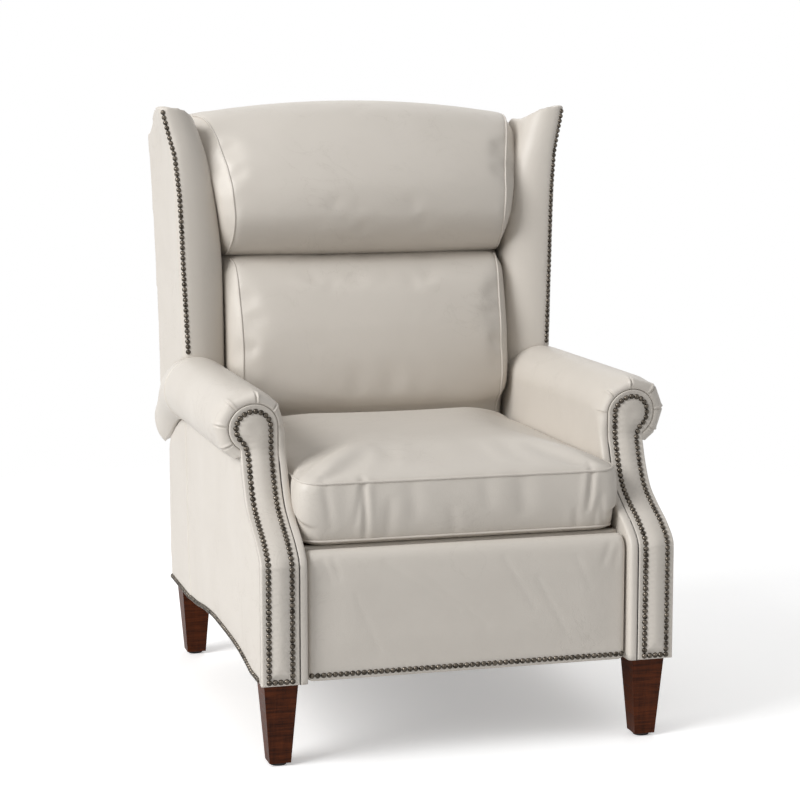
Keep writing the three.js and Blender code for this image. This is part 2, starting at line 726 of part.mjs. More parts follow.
// Back: posts and rails on a hinge between the arms, an outer panel, two pillows and two wings.
// Its planes lean back by one share of the height above the panel's bottom.
const backRearTop = depth / 2;
const leanAt = (z) => backRearTop - backLeanShare * (backTopHeight - z);
const panelFrontAt = (z) => leanAt(z) - backPanelThickness;
const postRearAt = (z) => panelFrontAt(z) - touchGap;
const postFrontAt = (z) => postRearAt(z) - postDepth;
const hingeY = postRearAt(hingeHeight) - hingeInset;
const headSideTop = headTop - headTopArc;
const postOuter = armInner - slideGap;
const postInner = postOuter - postWidth;
const postTop = lerp(headBottom, headSideTop, headCoverShare) - postTopGap;

function leaning(xs, frontAt, rearAt, low, high) {
  const ring = (z) => [vector(xs[0], frontAt(z), z), vector(xs[1], frontAt(z), z), vector(xs[1], rearAt(z), z),
    vector(xs[0], rearAt(z), z)];
  return loft([ring(low), ring(high)]);
}

function outerBack() {
  const halfLow = armInner - slideGap;
  const halfHigh = backShoulderWidth / 2;
  const shape = new THREE.Shape();
  shape.moveTo(-halfLow, backPanelBottom);
  shape.lineTo(halfLow, backPanelBottom);
  shape.lineTo(halfLow, backShoulder);
  shape.lineTo(halfHigh, backShoulder);
  const sideTop = backTopHeight - backTopRise;
  shape.lineTo(halfHigh, sideTop);
  const steps = 12;
  for (let k = 1; k < steps; k += 1) {
    const share = lerp(1, -1, k / steps);
    shape.lineTo(halfHigh * share, lerp(backTopHeight, sideTop, share * share));
  }
  shape.lineTo(-halfHigh, sideTop);
  shape.lineTo(-halfHigh, backShoulder);
  shape.lineTo(-halfLow, backShoulder);
  const geometry = new THREE.ExtrudeGeometry(shape, { depth: backPanelThickness, bevelEnabled: false });
  const place = new THREE.Matrix4().makeBasis(vector(1, 0, 0), vector(0, backLeanShare, 1), vector(0, -1, 0));
  geometry.applyMatrix4(place);
  geometry.translate(0, leanAt(0), 0);
  return geometry;
}

// A back pillow: (depth share, height share) points round its section, front face first, then the flat rear.
// The first row pairs with the last, and so on, down to the bottom.
function backPillow(frontShares, size, widthAt, topArc) {
  const { low, high, deep, crown, coverShare } = size;
  const acrossShares = [-1, -0.985, -0.93, -0.75, -0.4, 0, 0.4, 0.75, 0.93, 0.985, 1];
  const insetShares = [0.16, 0.05, 0, 0, 0, 0, 0, 0, 0, 0.05, 0.16];
  const rounding = 0.35;
  return loft(acrossShares.map((across, k) => {
    const bulge = 1 - across * across;
    const heightAt = (share) => lerp(low, high, share) + topArc * bulge * share * share;
    const face = frontShares.map(([depthShare, heightShare]) => {
      const z = heightAt(lerp(heightShare, 0.5, insetShares[k] * rounding));
      const out = deep * depthShare * (1 - insetShares[k]) + crown * bulge * depthShare ** 2;
      return vector(across * widthAt(z), postFrontAt(z) - touchGap - out, z);
    });
    const rear = frontShares.map(([, heightShare]) => {
      const z = heightAt(lerp(heightShare, 0.5, insetShares[k] * rounding));
      const overPosts = heightShare > coverShare;
      return vector(across * widthAt(z), (overPosts ? panelFrontAt(z) : postFrontAt(z)) - touchGap, z);
    });
    return [...face, ...rear.reverse()];
  }));
}

const lumbarShares = [[0.62, 1], [0.76, 0.975], [0.85, 0.895], [0.9, 0.8], [0.95, 0.7], [0.985, 0.6], [1, 0.45],
  [0.98, 0.33], [0.9, 0.24], [0.74, 0.18], [0.69, 0]];
const headShares = [[0.15, 1], [0.36, 0.992], [0.54, 0.955], [0.69, 0.872], [0.82, 0.737], [0.92, 0.598],
  [0.99, 0.459], [1, 0.316], [0.91, 0.169], [0.72, 0.05], [0.55, 0]];

// The lowest height at which a wing clears the arm's roll.
function overRoll(x, y) {
  const reach = rollRadius + wingRollGap;
  return rollCentreHeight - droopAt(y) + Math.sqrt(Math.max(0, reach ** 2 - (x - rollX) ** 2));
}

function wing() {
  const levelShares = [0, 0.12, 0.3, 0.5, 0.68, 0.82, 0.92, 0.97, 1];
  const nailXShares = [[0, 0], [0.5, 0.2], [0.75, 0.36], [0.85, 0.5], [0.95, 0.85], [1, 1]];
  const frontYShares = [[0, 0], [0.6, 0.35], [0.8, 0.55], [0.95, 0.9], [1, 1]];
  const scoopShares = { start: 0.35, end: 0.95, inside: 0.6, fall: 1.3 };
  const outsideShares = { corner: 0.2, edge: 0.5, middle: 0.5 };
  const insideShares = { lip: 0.6, lipDepth: 0.1, roll: 0.6, face: 0.6, faceDepth: 0.36, inner: 0.62 };
  return loft(levelShares.map((level) => {
    const near = lerp(rollTop, wingTip, level);
    const nailX = lerp(wingNailLow, wingNailHigh, readShares(nailXShares, level));
    const noseY = bodyRear - wingFrontInset + wingFrontRise * readShares(frontYShares, level);
    const rearY = panelFrontAt(near) - touchGap;
    const deep = rearY - noseY;
    const place = (x, share) => {
      const inward = Math.max(0, (nailX - wingLand - x) / (nailX - wingLand - wingInnerWidth));
      const scoop = Math.max(THREE.MathUtils.smoothstep(share, scoopShares.start, scoopShares.end),
        scoopShares.inside * inward ** scoopShares.fall);
      const topDrop = wingScoop * scoop;
      const z = lerp(overRoll(x, lerp(noseY, rearY, share)), wingTip - topDrop, level);
      return vector(x, lerp(noseY, panelFrontAt(z) - touchGap, share), z);
    };
    const nose = wingNose / deep;
    const rootX = lerp(wingRootLow, wingRootHigh, level * level);
    const outerX = nailX + wingLand / 2;
    const outside = [place(outerX, nose * outsideShares.corner), place(outerX + wingLand / 13, nose * outsideShares.edge),
      place(lerp(nailX, rootX, outsideShares.middle) + wingLand / 4, outsideShares.middle), place(rootX, 1)];
    const land = place(nailX - wingLand / 2, 0);
    const inside = [place(nailX - wingNose * insideShares.lip, nose * insideShares.lipDepth),
      place(nailX - wingNose, nose * insideShares.roll),
      place(lerp(nailX - wingNose, wingInnerWidth, insideShares.face), insideShares.faceDepth),
      place(wingInnerWidth, insideShares.inner), place(wingInnerWidth, 1)];
    return [land, ...outside, ...inside.reverse()];
  }));
}

function back(pad) {
  const hole = pin(hingeY, hingeHeight, pinRadius + pinClearance, postInner - cutOverrun, postOuter + cutOverrun);
  const post = solid(leaning([postInner, postOuter], postFrontAt, postRearAt, postBottom, postTop)).subtract(solid(hole));
  addPair('back_post', surface(post), frameWood);
  const plateOuter = postInner - 2 * touchGap;
  const bracket = solid(block([plateOuter - hingePlate, hingeY - railSide / 2, trackBase],
    [plateOuter, hingeY + railSide / 2, hingeHeight + railSide / 2]));
  const hingePin = solid(pin(hingeY, hingeHeight, pinRadius, plateOuter - hingePlate / 2, postOuter - touchGap));
  addPair('back_hinge_bracket', surface(bracket.add(hingePin)), steel);
  const halfRail = postInner - touchGap;
  const railAcross = [-halfRail, halfRail];
  add('lower_back_rail', leaning(railAcross, postFrontAt, postRearAt, lowerBackRailBase,
    lowerBackRailBase + backRailHeight), frameWood);
  add('top_back_rail', leaning(railAcross, postFrontAt, postRearAt, postTop - backRailHeight, postTop), frameWood);
  add('outer_back', outerBack(), leather);
  add('lumbar_pillow', backPillow(lumbarShares, { low: lumbarBottom, high: lumbarTop, deep: lumbarDepth,
    crown: pillowCrown, coverShare: 1 }, () => lumbarHalfWidth, 0), leather);
  const flareAt = (z) => headHalfWidth + headFlare * Math.max(0, (z - headBottom) / (headTop - headBottom)) ** 3;
  const head = backPillow(headShares, { low: headBottom, high: headSideTop, deep: headDepth,
    crown: pillowCrown, coverShare: headCoverShare }, flareAt, headTopArc);
  add('head_pillow', head, leather);
  const overArm = carved(wing(), pad, [[0, 0, wingRollGap], [0, 0, 0]]);
  const clear = 2 * touchGap;
  addPair('wing', carved(overArm, head, [[clear, 0, 0], [0, -clear, 0], [0, clear, 0], [0, 0, clear]]), leather);
}

legs();
const armPadSolid = arms();
baseRails();
seatBox();
linkage();
footrest();
back(armPadSolid);

export default chair;
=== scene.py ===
import math
import random

import bmesh
import bpy
import numpy as np
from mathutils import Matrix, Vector
from mathutils.bvhtree import BVHTree


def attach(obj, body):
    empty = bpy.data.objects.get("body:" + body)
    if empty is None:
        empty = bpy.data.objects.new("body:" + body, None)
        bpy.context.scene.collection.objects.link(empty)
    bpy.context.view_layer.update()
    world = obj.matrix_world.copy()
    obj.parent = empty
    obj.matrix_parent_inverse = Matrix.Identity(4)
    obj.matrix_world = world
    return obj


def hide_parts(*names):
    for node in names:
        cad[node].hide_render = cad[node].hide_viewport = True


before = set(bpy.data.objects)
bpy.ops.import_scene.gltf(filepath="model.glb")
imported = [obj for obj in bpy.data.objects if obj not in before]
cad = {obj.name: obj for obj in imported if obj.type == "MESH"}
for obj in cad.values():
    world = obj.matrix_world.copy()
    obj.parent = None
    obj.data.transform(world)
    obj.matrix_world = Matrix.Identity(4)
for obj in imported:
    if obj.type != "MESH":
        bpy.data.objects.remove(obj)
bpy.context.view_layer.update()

random.seed(7)
scene = bpy.context.scene

# Camera: a long lens, a little above the arms, looking down at the chair's front and right side.
camera_place = (-1.1076, -3.9648, 1.1378)
camera_drop = 8.087
camera_turn = -15.589
lens_length = 100.15
sensor_width = 36

camera_data = bpy.data.cameras.new("photo_camera")
camera_data.lens = lens_length
camera_data.sensor_width = sensor_width
camera = bpy.data.objects.new("photo_camera", camera_data)
camera.location = camera_place
camera.rotation_euler = (math.radians(90 - camera_drop), 0, math.radians(camera_turn))
scene.collection.objects.link(camera)
scene.camera = camera


# Legs: square tapered hardwood blocks, stained dark reddish brown under a satin lacquer.
# Their long edges are eased, and each is bolted up into a corner of the base.
def add_node(tree, kind, settings=None, inputs=None):
    """A shader node with its settings, and with its inputs, which are values or sockets."""
    made = tree.nodes.new(kind)
    for name, value in (settings or {}).items():
        setattr(made, name, value)
    for name, value in (inputs or {}).items():
        if isinstance(value, bpy.types.NodeSocket):
            tree.links.new(value, made.inputs[name])
        else:
            made.inputs[name].default_value = value
    return made


def new_group(name, inputs):
    """An empty node group, its object coordinates, and the sockets that it is given."""
    tree = bpy.data.node_groups.new(name, "ShaderNodeTree")
    for socket, kind in inputs.items():
        tree.interface.new_socket(name=socket, in_out="INPUT", socket_type="NodeSocket" + kind)
    place = tree.nodes.new("ShaderNodeTexCoord").outputs["Object"]
    return tree, place, tree.nodes.new("NodeGroupInput").outputs


def give(tree, **outputs):
    """Adds a group's output sockets, and links what they give."""
    for socket in outputs:
        kind = "NodeSocketColor" if socket == "Color" else "NodeSocketFloat"
        tree.interface.new_socket(name=socket, in_out="OUTPUT", socket_type=kind)
    made = tree.nodes.new("NodeGroupOutput").inputs
    for socket, value in outputs.items():
        tree.links.new(value, made[socket])
    return tree


def math_node(tree, operation, *values):
    return add_node(tree, "ShaderNodeMath", {"operation": operation}, dict(enumerate(values))).outputs[0]


def times(tree, first, second):
    return math_node(tree, "MULTIPLY", first, second)


def plus(tree, first, second):
    return math_node(tree, "ADD", first, second)


def vector_node(tree, operation, first, second):
    settings = {"operation": operation}
    return add_node(tree, "ShaderNodeVectorMath", settings, {0: first, 1: second}).outputs[0]


def mix_colour(tree, share, first, second):
    values = {0: share, 6: first, 7: second}
    return add_node(tree, "ShaderNodeMix", {"data_type": "RGBA"}, values).outputs[2]


def noise_node(tree, place, scale, detail=4, roughness=0.5, distortion=0):
    inputs = {"Vector": place, "Scale": scale, "Detail": detail, "Roughness": roughness,
              "Distortion": distortion}
    return add_node(tree, "ShaderNodeTexNoise", None, inputs).outputs["Fac"]


def step_node(tree, value, low, high, to_low=0, to_high=1):
    inputs = {"Value": value, "From Min": low, "From Max": high, "To Min": to_low, "To Max": to_high}
    return add_node(tree, "ShaderNodeMapRange", None, inputs).outputs["Result"]


def wood_grain_group():
    """Long streaks along the board, a fine cross figure, and open pores."""
    tree, place, given = new_group(
        "wood_grain", {"Pale": "Color", "Dark": "Color", "Run": "Vector", "Figure": "Float"})
    scaled = vector_node(tree, "MULTIPLY", place, given["Run"])
    turned = vector_node(tree, "SUBTRACT", (1.06, 1.06, 1.06), given["Run"])
    crossed = vector_node(tree, "MULTIPLY", place, turned)
    streaks = noise_node(tree, scaled, 110, 7, 0.6, 0.3)
    figure = step_node(tree, noise_node(tree, crossed, 260, 4, 0.7, 0.2), 0.35, 0.65)
    cloud = noise_node(tree, place, 22, 3)
    pores = step_node(tree, noise_node(tree, scaled, 900, 2), 0.6, 0.72)
    blend = plus(tree, times(tree, streaks, 0.62), times(tree, figure, given["Figure"]))
    blend = plus(tree, blend, times(tree, cloud, 0.36))
    colour = mix_colour(tree, step_node(tree, blend, 0.38, 0.92), given["Dark"], given["Pale"])
    return give(
        tree,
        Color=mix_colour(tree, times(tree, pores, 0.55), colour, given["Dark"]),
        Roughness=step_node(tree, blend, 0.3, 0.9, 0.3, 0.44),
        Height=math_node(tree, "SUBTRACT", times(tree, streaks, 0.5), pores))


def new_material(name, group, group_values, bump_depth, shader_values):
    """A Principled material whose colour, roughness and relief come from a group."""
    material = bpy.data.materials.new(name)
    material.use_nodes = True
    tree = material.node_tree
    shader = tree.nodes["Principled BSDF"]
    skin = tree.nodes.new("ShaderNodeGroup")
    skin.node_tree = group
    for socket, value in group_values.items():
        skin.inputs[socket].default_value = value
    bump = add_node(tree, "ShaderNodeBump", None,
                    {"Height": skin.outputs["Height"], "Distance": bump_depth})
    tree.links.new(skin.outputs["Color"], shader.inputs["Base Color"])
    tree.links.new(skin.outputs["Roughness"], shader.inputs["Roughness"])
    tree.links.new(bump.outputs["Normal"], shader.inputs["Normal"])
    for socket, value in shader_values.items():
        shader.inputs[socket].default_value = value
    return material


def dress(names, material, eased=0):
    """Gives CAD nodes a material, and eases their sharp edges by this width."""
    for name in names:
        node = cad[name]
        for slot in node.material_slots:
            slot.material = material
        if eased:
            bevel = node.modifiers.new("eased_edges", "BEVEL")
            bevel.width = eased
            bevel.segments = 2
            bevel.limit_method = "ANGLE"


def pair(*names):
    return [f"{name}_{side}" for name in names for side in ("left", "right")]


leg_edge = 0.0018
leg_pores = 0.00025
along_z = (1, 1, 0.06)
stained_pale = (0.098, 0.0232, 0.0062, 1)
stained_dark = (0.023, 0.0056, 0.0020, 1)

wood_grain = wood_grain_group()
leg_wood = new_material(
    "leg_wood", wood_grain,
    {"Pale": stained_pale, "Dark": stained_dark, "Run": along_z, "Figure": 0.42}, leg_pores,
    {"Coat Weight": 0.03, "Coat Roughness": 0.3, "Specular IOR Level": 0.10})
dress(pair("front_leg", "rear_leg"), leg_wood, leg_edge)


# Leg glides: turned black nylon discs, nailed up into the foot of each leg.
# They keep the end grain off the floor and let the chair slide.
def scuffed_group():
    """Fine scuffs and a dusty cloud over a plain finish."""
    tree, place, given = new_group(
        "scuffed_finish", {"Color": "Color", "Worn": "Color", "Scuffs": "Float", "Roughness": "Float"})
    cloud = noise_node(tree, place, 30, 4)
    scratch = step_node(tree, noise_node(tree, place, 420, 2, 0.5, 1.5), 0.62, 0.7)
    marks = times(tree, times(tree, scratch, cloud), given["Scuffs"])
    return give(
        tree,
        Color=mix_colour(tree, marks, given["Color"], given["Worn"]),
        Roughness=plus(tree, given["Roughness"], step_node(tree, cloud, 0.3, 0.7, -0.07, 0.07)),
        Height=math_node(tree, "SUBTRACT", noise_node(tree, place, 700, 3), marks))


scuffed_finish = scuffed_group()


def scuffed_material(name, colour, worn, scuffs, roughness, relief, metallic=0):
    given = {"Color": colour, "Worn": worn, "Scuffs": scuffs, "Roughness": roughness}
    return new_material(name, scuffed_finish, given, relief, {"Metallic": metallic})


nylon_black = (0.018, 0.018, 0.019, 1)
nylon_worn = (0.11, 0.11, 0.11, 1)
nylon_relief = 0.0001
nylon = scuffed_material("glide_nylon", nylon_black, nylon_worn, 0.8, 0.5, nylon_relief)
glide_edge = 0.0008
dress(pair("front_leg_glide", "rear_leg_glide"), nylon, glide_edge)


# Frame wood: the boards inside the arms, the cross rails, the seat box, the footrest board and the
# back's posts and rails are planed pale hardwood, glued and screwed. They show when the chair is open.
board_edge = 0.0012
board_pores = 0.0003
planed_pale = (0.60, 0.42, 0.24, 1)
planed_dark = (0.36, 0.22, 0.11, 1)
cross_boards = ["front_base_rail", "rear_base_rail", "seat_box_front", "seat_box_rear", "footrest_board",
                "lower_back_rail", "top_back_rail"]
board_runs = {
    "frame_wood_across": ((0.06, 1, 1), cross_boards),
    "frame_wood_deep": ((1, 0.06, 1), pair("arm_frame", "seat_box_side")),
    "frame_wood_upright": (along_z, pair("back_post")),
}
for board_name, (board_run, boards) in board_runs.items():
    planed_wood = new_material(
        board_name, wood_grain,
        {"Pale": planed_pale, "Dark": planed_dark, "Run": board_run, "Figure": 0.12}, board_pores, {})
    dress(boards, planed_wood, board_edge)


# Steelwork: tracks, side plates, links, brackets and tube are pressed and riveted steel, painted black.
# The sinuous springs are bare drawn wire, clipped to the seat box.
paint_black = (0.022, 0.022, 0.024, 1)
paint_worn = (0.16, 0.155, 0.15, 1)
paint_relief = 0.00012
steel_paint = scuffed_material("steel_paint", paint_black, paint_worn, 0.9, 0.36, paint_relief, 0.6)
steel_edge = 0.0005
dress(pair("seat_track", "seat_side_plate", "front_rocker", "rear_rocker", "ottoman_arm", "control_link",
           "footrest_bracket", "back_hinge_bracket") + ["torque_tube"], steel_paint, steel_edge)
wire_grey = (0.30, 0.30, 0.31, 1)
wire_worn = (0.10, 0.09, 0.08, 1)
wire_relief = 0.00008
spring_wire = scuffed_material("spring_wire", wire_grey, wire_worn, 0.7, 0.34, wire_relief, 1)
dress(["seat_springs"], spring_wire)


# Arm pads: the inside arm and the stuffed roll over its top, sewn as one leather piece.
# At the front of the roll the leather is gathered into pleats round the facing's scroll.
def read_curve(table, at):
    """A smooth curve through (place, value) rows that never overshoots them, read at places."""
    xs, ys = np.array(table, float).T
    secants = np.diff(ys) / np.diff(xs)
    slopes = np.concatenate([[secants[0]], np.zeros(len(xs) - 2), [secants[-1]]])
    for k in range(1, len(xs) - 1):
        if secants[k - 1] * secants[k] > 0:
            slopes[k] = 2 / (1 / secants[k - 1] + 1 / secants[k])
    at = np.clip(np.asarray(at, float), xs[0], xs[-1])
    k = np.clip(np.searchsorted(xs, at, side="right") - 1, 0, len(xs) - 2)
    width = xs[k + 1] - xs[k]
    u = (at - xs[k]) / width
    start = (1 + 2 * u) * (1 - u) ** 2 * ys[k] + u * (1 - u) ** 2 * width * slopes[k]
    return start + u * u * (3 - 2 * u) * ys[k + 1] + u * u * (u - 1) * width * slopes[k + 1]


def ease(low, high, value):
    """0 below low, 1 above high, and a smooth rise between them."""
    share = np.clip((np.asarray(value, float) - low) / (high - low), 0, 1)
    return share * share * (3 - 2 * share)


def bump_at(value, middle, width):
    return np.exp(-((value - middle) / width) ** 2)


def leather_skin_group():
    """Smooth full-grain leather: pores, soft clouding, and scattered fine creases, whose lines are darkened
    as painted shade.
    """
    tree, place, given = new_group(
        "leather_skin", {"Color": "Color", "CloudAndCreaseShade": "Color", "Creasing": "Float"})
    pores = add_node(tree, "ShaderNodeTexVoronoi", {"feature": "F1"}, {"Vector": place, "Scale": 760})
    grain = noise_node(tree, place, 330, 5, 0.62)
    cloud = noise_node(tree, place, 7, 4, 0.55, 0.6)
    fold = noise_node(tree, place, 9, 6, 0.62, 1.4)
    ridge = math_node(tree, "ABSOLUTE", math_node(tree, "SUBTRACT", fold, 0.5))
    line = step_node(tree, ridge, 0, 0.012, 1, 0)
    patch = step_node(tree, noise_node(tree, place, 4.3, 2), 0.5, 0.62)
    creases = times(tree, times(tree, line, patch), given["Creasing"])
    tone = step_node(tree, cloud, 0.3, 0.7, 0, 0.16)
    clouded = mix_colour(tree, tone, given["Color"], given["CloudAndCreaseShade"])
    rough = step_node(tree, cloud, 0.25, 0.75, 0.42, 0.53)
    relief = plus(tree, times(tree, pores.outputs["Distance"], 0.22), times(tree, grain, 0.35))
    # The crease lines are mixed towards the shade colour: painted shade in the creases, on top of their
    # relief.
    return give(
        tree,
        Color=mix_colour(tree, times(tree, creases, 0.5), clouded, given["CloudAndCreaseShade"]),
        Roughness=plus(tree, rough, times(tree, creases, 0.12)),
        Height=math_node(tree, "SUBTRACT", relief, times(tree, creases, 0.8)))


leather_colour = (0.648, 0.603, 0.545, 1)
# The darker leather colour is the random clouding's tone, and also the painted shade in the crease lines.
leather_cloud_and_crease_shade = (0.50, 0.458, 0.405, 1)
leather_relief = 0.00035
leather_shine = {"Coat Weight": 0.10, "Coat Roughness": 0.28, "Specular IOR Level": 0.4}
leather = new_material(
    "pale_leather", leather_skin_group(),
    {"Color": leather_colour, "CloudAndCreaseShade": leather_cloud_and_crease_shade, "Creasing": 0.5}, leather_relief, leather_shine)


def new_piece(name, points, faces):
    """A smooth-shaded mesh object with its faces turned outwards."""
    mesh = bpy.data.meshes.new(name)
    mesh.from_pydata([tuple(p) for p in points], [], faces)
    shell = bmesh.new()
    shell.from_mesh(mesh)
    bmesh.ops.recalc_face_normals(shell, faces=shell.faces)
    shell.to_mesh(mesh)
    shell.free()
    mesh.shade_smooth()
    piece = bpy.data.objects.new(name, mesh)
    scene.collection.objects.link(piece)
    return piece


def ring_faces(count, rings, base=0):
    """The quads between rings of points, numbered from a base."""
    return [(low + j, low + (j + 1) % count, low + count + (j + 1) % count, low + count + j)
            for low in range(base, base + count * (rings - 1), count) for j in range(count)]


def skin_rings(name, rings):
    """Skins closed rings of equal count, and closes both ends."""
    count = len(rings[0])
    last = (len(rings) - 1) * count
    faces = [tuple(range(count)), *ring_faces(count, len(rings)), tuple(range(last, last + count))]
    return new_piece(name, [p for ring in rings for p in ring], faces)


def face_list(piece):
    return [tuple(face.vertices) for face in piece.data.polygons]


def mirrored(piece, name):
    """The other side's piece: a copy mirrored across the chair's middle."""
    return new_piece(name, get_points(piece) * np.array([-1, 1, 1]), face_list(piece))


def get_points(piece):
    points = np.empty(len(piece.data.vertices) * 3)
    piece.data.vertices.foreach_get("co", points)
    return points.reshape(-1, 3)


def set_points(piece, points):
    piece.data.vertices.foreach_set("co", np.ascontiguousarray(points, dtype=float).ravel())
    piece.data.update()


def finish_piece(piece, body, *nodes, material=leather, finish="leather", fill=None):
    """Material, body, and the CAD nodes that the piece stands for; the finish and fill arguments are not
    used.
    """
    piece.data.materials.clear()
    piece.data.materials.append(material)
    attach(piece, body)
    if nodes:
        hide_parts(*nodes)


def finish_pair(left, name, body, fill=None):
    """Finishes a left piece, and a mirrored right piece, as the CAD pair of that name."""
    both = (left, mirrored(left, f"{name}_cover_right"))
    for side, piece in zip(("left", "right"), both):
        finish_piece(piece, body, f"{name}_{side}", fill=fill)
    return both


chair_front = -0.4532
body_bottom = 0.147
roll_radius = 0.060
roll_x = 0.345
roll_z = 0.560
arm_top = roll_z + roll_radius
arm_rake = 0.156
rake_shares = ((0, 0), (0.38, 0), (0.425, 0.004), (0.445, 0.03), (0.497, 0.21), (0.548, 0.48), (0.6, 0.71),
               (0.664, 0.846), (0.729, 0.936), (0.797, 1), (0.863, 1), (0.937, 0.95), (1, 0.88))


def arm_front(z):
    share = (np.asarray(z, float) - body_bottom) / (arm_top - body_bottom)
    return chair_front + arm_rake * read_curve(rake_shares, share)


roll_droop = 0.088
droop_front, droop_rear = 0.187, 0.438
droop_shares = ((0, 0), (0.25, 0.08), (0.5, 0.3), (0.75, 0.65), (1, 1))


def arm_droop(y):
    share = (np.asarray(y, float) - droop_front) / (droop_rear - droop_front)
    return roll_droop * read_curve(droop_shares, share)


arm_inner = 0.285
leaf_width = 0.0147
leaf_low = 0.300
facing_depth = 0.014
roll_neck = 0.053
pleat_angles = (180, 138, 95, 46, 3, -38, -66)
pleat_reach = 0.062
pleat_fold = 0.0026
pleat_width = 1.7
scroll_x, scroll_z, scroll_radius = 0.3428, 0.558, 0.0425
scroll_gap = 0.0005
roll_swell = 0.0035
roll_taper = 0.018
end_round = 0.014
nose_rows = ((0, 0.0143, 0.02, 0.0024), (0.01, 0.0030, 0.10, 0.0012), (0.06, 0.0016, 0.3, 0.0008),
             (0.20, 0.0014, 0.55, 0.0010), (0.42, 0.0024, 0.74, 0.0016), (0.64, 0.0047, 0.84, 0.0027),
             (0.82, 0.0085, 0.92, 0.0042), (0.93, 0.0128, 0.97, 0.0060), (0.98, 0.0176, 0.995, 0.0085),
             (1, 0.0230, 1, 0.0125))
arm_rear_low, arm_rear_high, arm_rear_step = 0.4085, 0.4375, 0.432
near_rows = (0.028, 0.034, 0.041, 0.049, 0.058, 0.068, 0.08, 0.095)
front_run, whole_run = 0.12, 0.82
end_rows = (0.8, 0.806, 0.811, 0.815, 0.818, 0.82)
roll_hang = 0.3675
roll_seam_back = 0.552
seam_lap, seam_width = 0.0018, 0.0007
seam_rows = (-0.004, -0.0022, -0.0012, -0.0006, 0, 0.0006, 0.0012, 0.0022, 0.004)
leaf_rows, arc_rows, under_rows = 40, 243, 9
leaf_drop_start, leaf_drop_end = 0.06, 0.11
roll_start, roll_end = 0.51, 0.56
neck_blend = 0.03
taper_start = 0.62
nose_share = 0.7
pleat_start = 0.012
pleat_lip, pleat_lip_width = 3.5, 2.4
roll_angles = np.linspace(180, -62, arc_rows)
roll_cos, roll_sin = np.cos(np.radians(roll_angles)), np.sin(np.radians(roll_angles))
outward_share = 0.5 + 0.5 * roll_cos


def pleats(gathered):
    """The roll's radius shares, flat between the pleats, and how far each fold is pressed in."""
    flats, pressed = np.ones(arc_rows), np.zeros(arc_rows)
    for first, second in zip(pleat_angles, pleat_angles[1:]):
        between = (roll_angles <= first) & (roll_angles >= second)
        half, middle = (first - second) / 2, (first + second) / 2
        chord = math.cos(math.radians(half)) / np.cos(np.radians(roll_angles - middle))
        flats[between] *= 1 - gathered * (1 - chord[between])
        pressed += bump_at(roll_angles, first, pleat_width)
        pressed -= 0.5 * bump_at(roll_angles, first + pleat_lip, pleat_lip_width)
    return flats, pressed


def arm_pad_ring(roll_share, roll_back, leaf_share, leaf_back):
    """One ring: how full the roll and the leaf are there, and how far they lie behind the front."""
    share = max(0, (roll_back - front_run) / (whole_run - front_run))
    front_y = float(arm_front(roll_z - roll_neck)) + min(roll_back, front_run)
    middle_y = front_y * (1 - share) + arm_rear_high * share
    droop = float(arm_droop(middle_y))
    neck_z = max(roll_z - roll_neck - droop, arm_rear_step)
    low_z = body_bottom + (leaf_low - body_bottom) * float(ease(leaf_drop_start, leaf_drop_end, roll_back))
    leaf_outer = arm_inner + leaf_width
    leaf_z = np.linspace(low_z, roll_z - droop, leaf_rows, endpoint=False)
    blend = ease(neck_z - neck_blend, roll_z - droop, leaf_z)
    leaf_x = leaf_outer - leaf_width * (leaf_share + (roll_share - leaf_share) * blend)

    flats, pressed = pleats(1 - float(ease(pleat_start, pleat_reach, roll_back)))
    turn = 1 - min(1, (arm_rear_high - middle_y) / end_round)
    ending = roll_taper * float(ease(taper_start, 1, share)) + end_round * (1 - math.sqrt(1 - turn * turn))
    end_share = outward_share * np.where(roll_angles < 0, roll_cos, 1)
    before_seam = 0.5 - 0.5 * math.tanh((roll_back - roll_seam_back) / seam_width)
    radius = roll_radius + roll_swell * (1 + roll_cos) - ending * end_share
    radius -= seam_lap * before_seam * outward_share
    radius *= flats
    creased = 1 - float(ease(pleat_start, pleat_reach * 0.6, roll_back))
    radius -= creased * pleat_fold * pressed
    arc_x = scroll_x + (scroll_radius + scroll_gap) * roll_cos
    arc_z = scroll_z - droop + (scroll_radius + scroll_gap) * roll_sin
    arc_x += roll_share * (roll_x + radius * roll_cos - arc_x)
    arc_z += roll_share * (roll_z - droop + radius * roll_sin - arc_z)
    arc_z = np.where(arc_x > roll_hang, arc_z, np.maximum(arc_z, neck_z))

    under_x = np.linspace(arc_x[-1], leaf_outer, under_rows + 1)[1:]
    outer_z = np.linspace(neck_z, low_z, leaf_rows)[1:]
    xs = np.concatenate([leaf_x, arc_x, under_x, np.full(leaf_rows - 1, leaf_outer)])
    zs = np.concatenate([leaf_z, arc_z, np.full(under_rows, neck_z), outer_z])
    rolled = np.concatenate([ease(roll_start, roll_end, leaf_z + droop), np.ones(arc_rows + under_rows),
                             np.zeros(leaf_rows - 1)])
    folded = np.concatenate([np.zeros(leaf_rows), pressed, np.zeros(under_rows + leaf_rows - 1)])
    back = leaf_back + (roll_back - leaf_back) * rolled
    back += pleat_fold * folded * (4 * roll_share * (1 - roll_share))
    rear = np.where((zs < arm_rear_step) & (xs < roll_hang), arm_rear_low, arm_rear_high)
    ys = (arm_front(zs + droop) + np.minimum(back, front_run)) * (1 - share) + rear * share
    return np.stack([xs, ys, zs], axis=1)


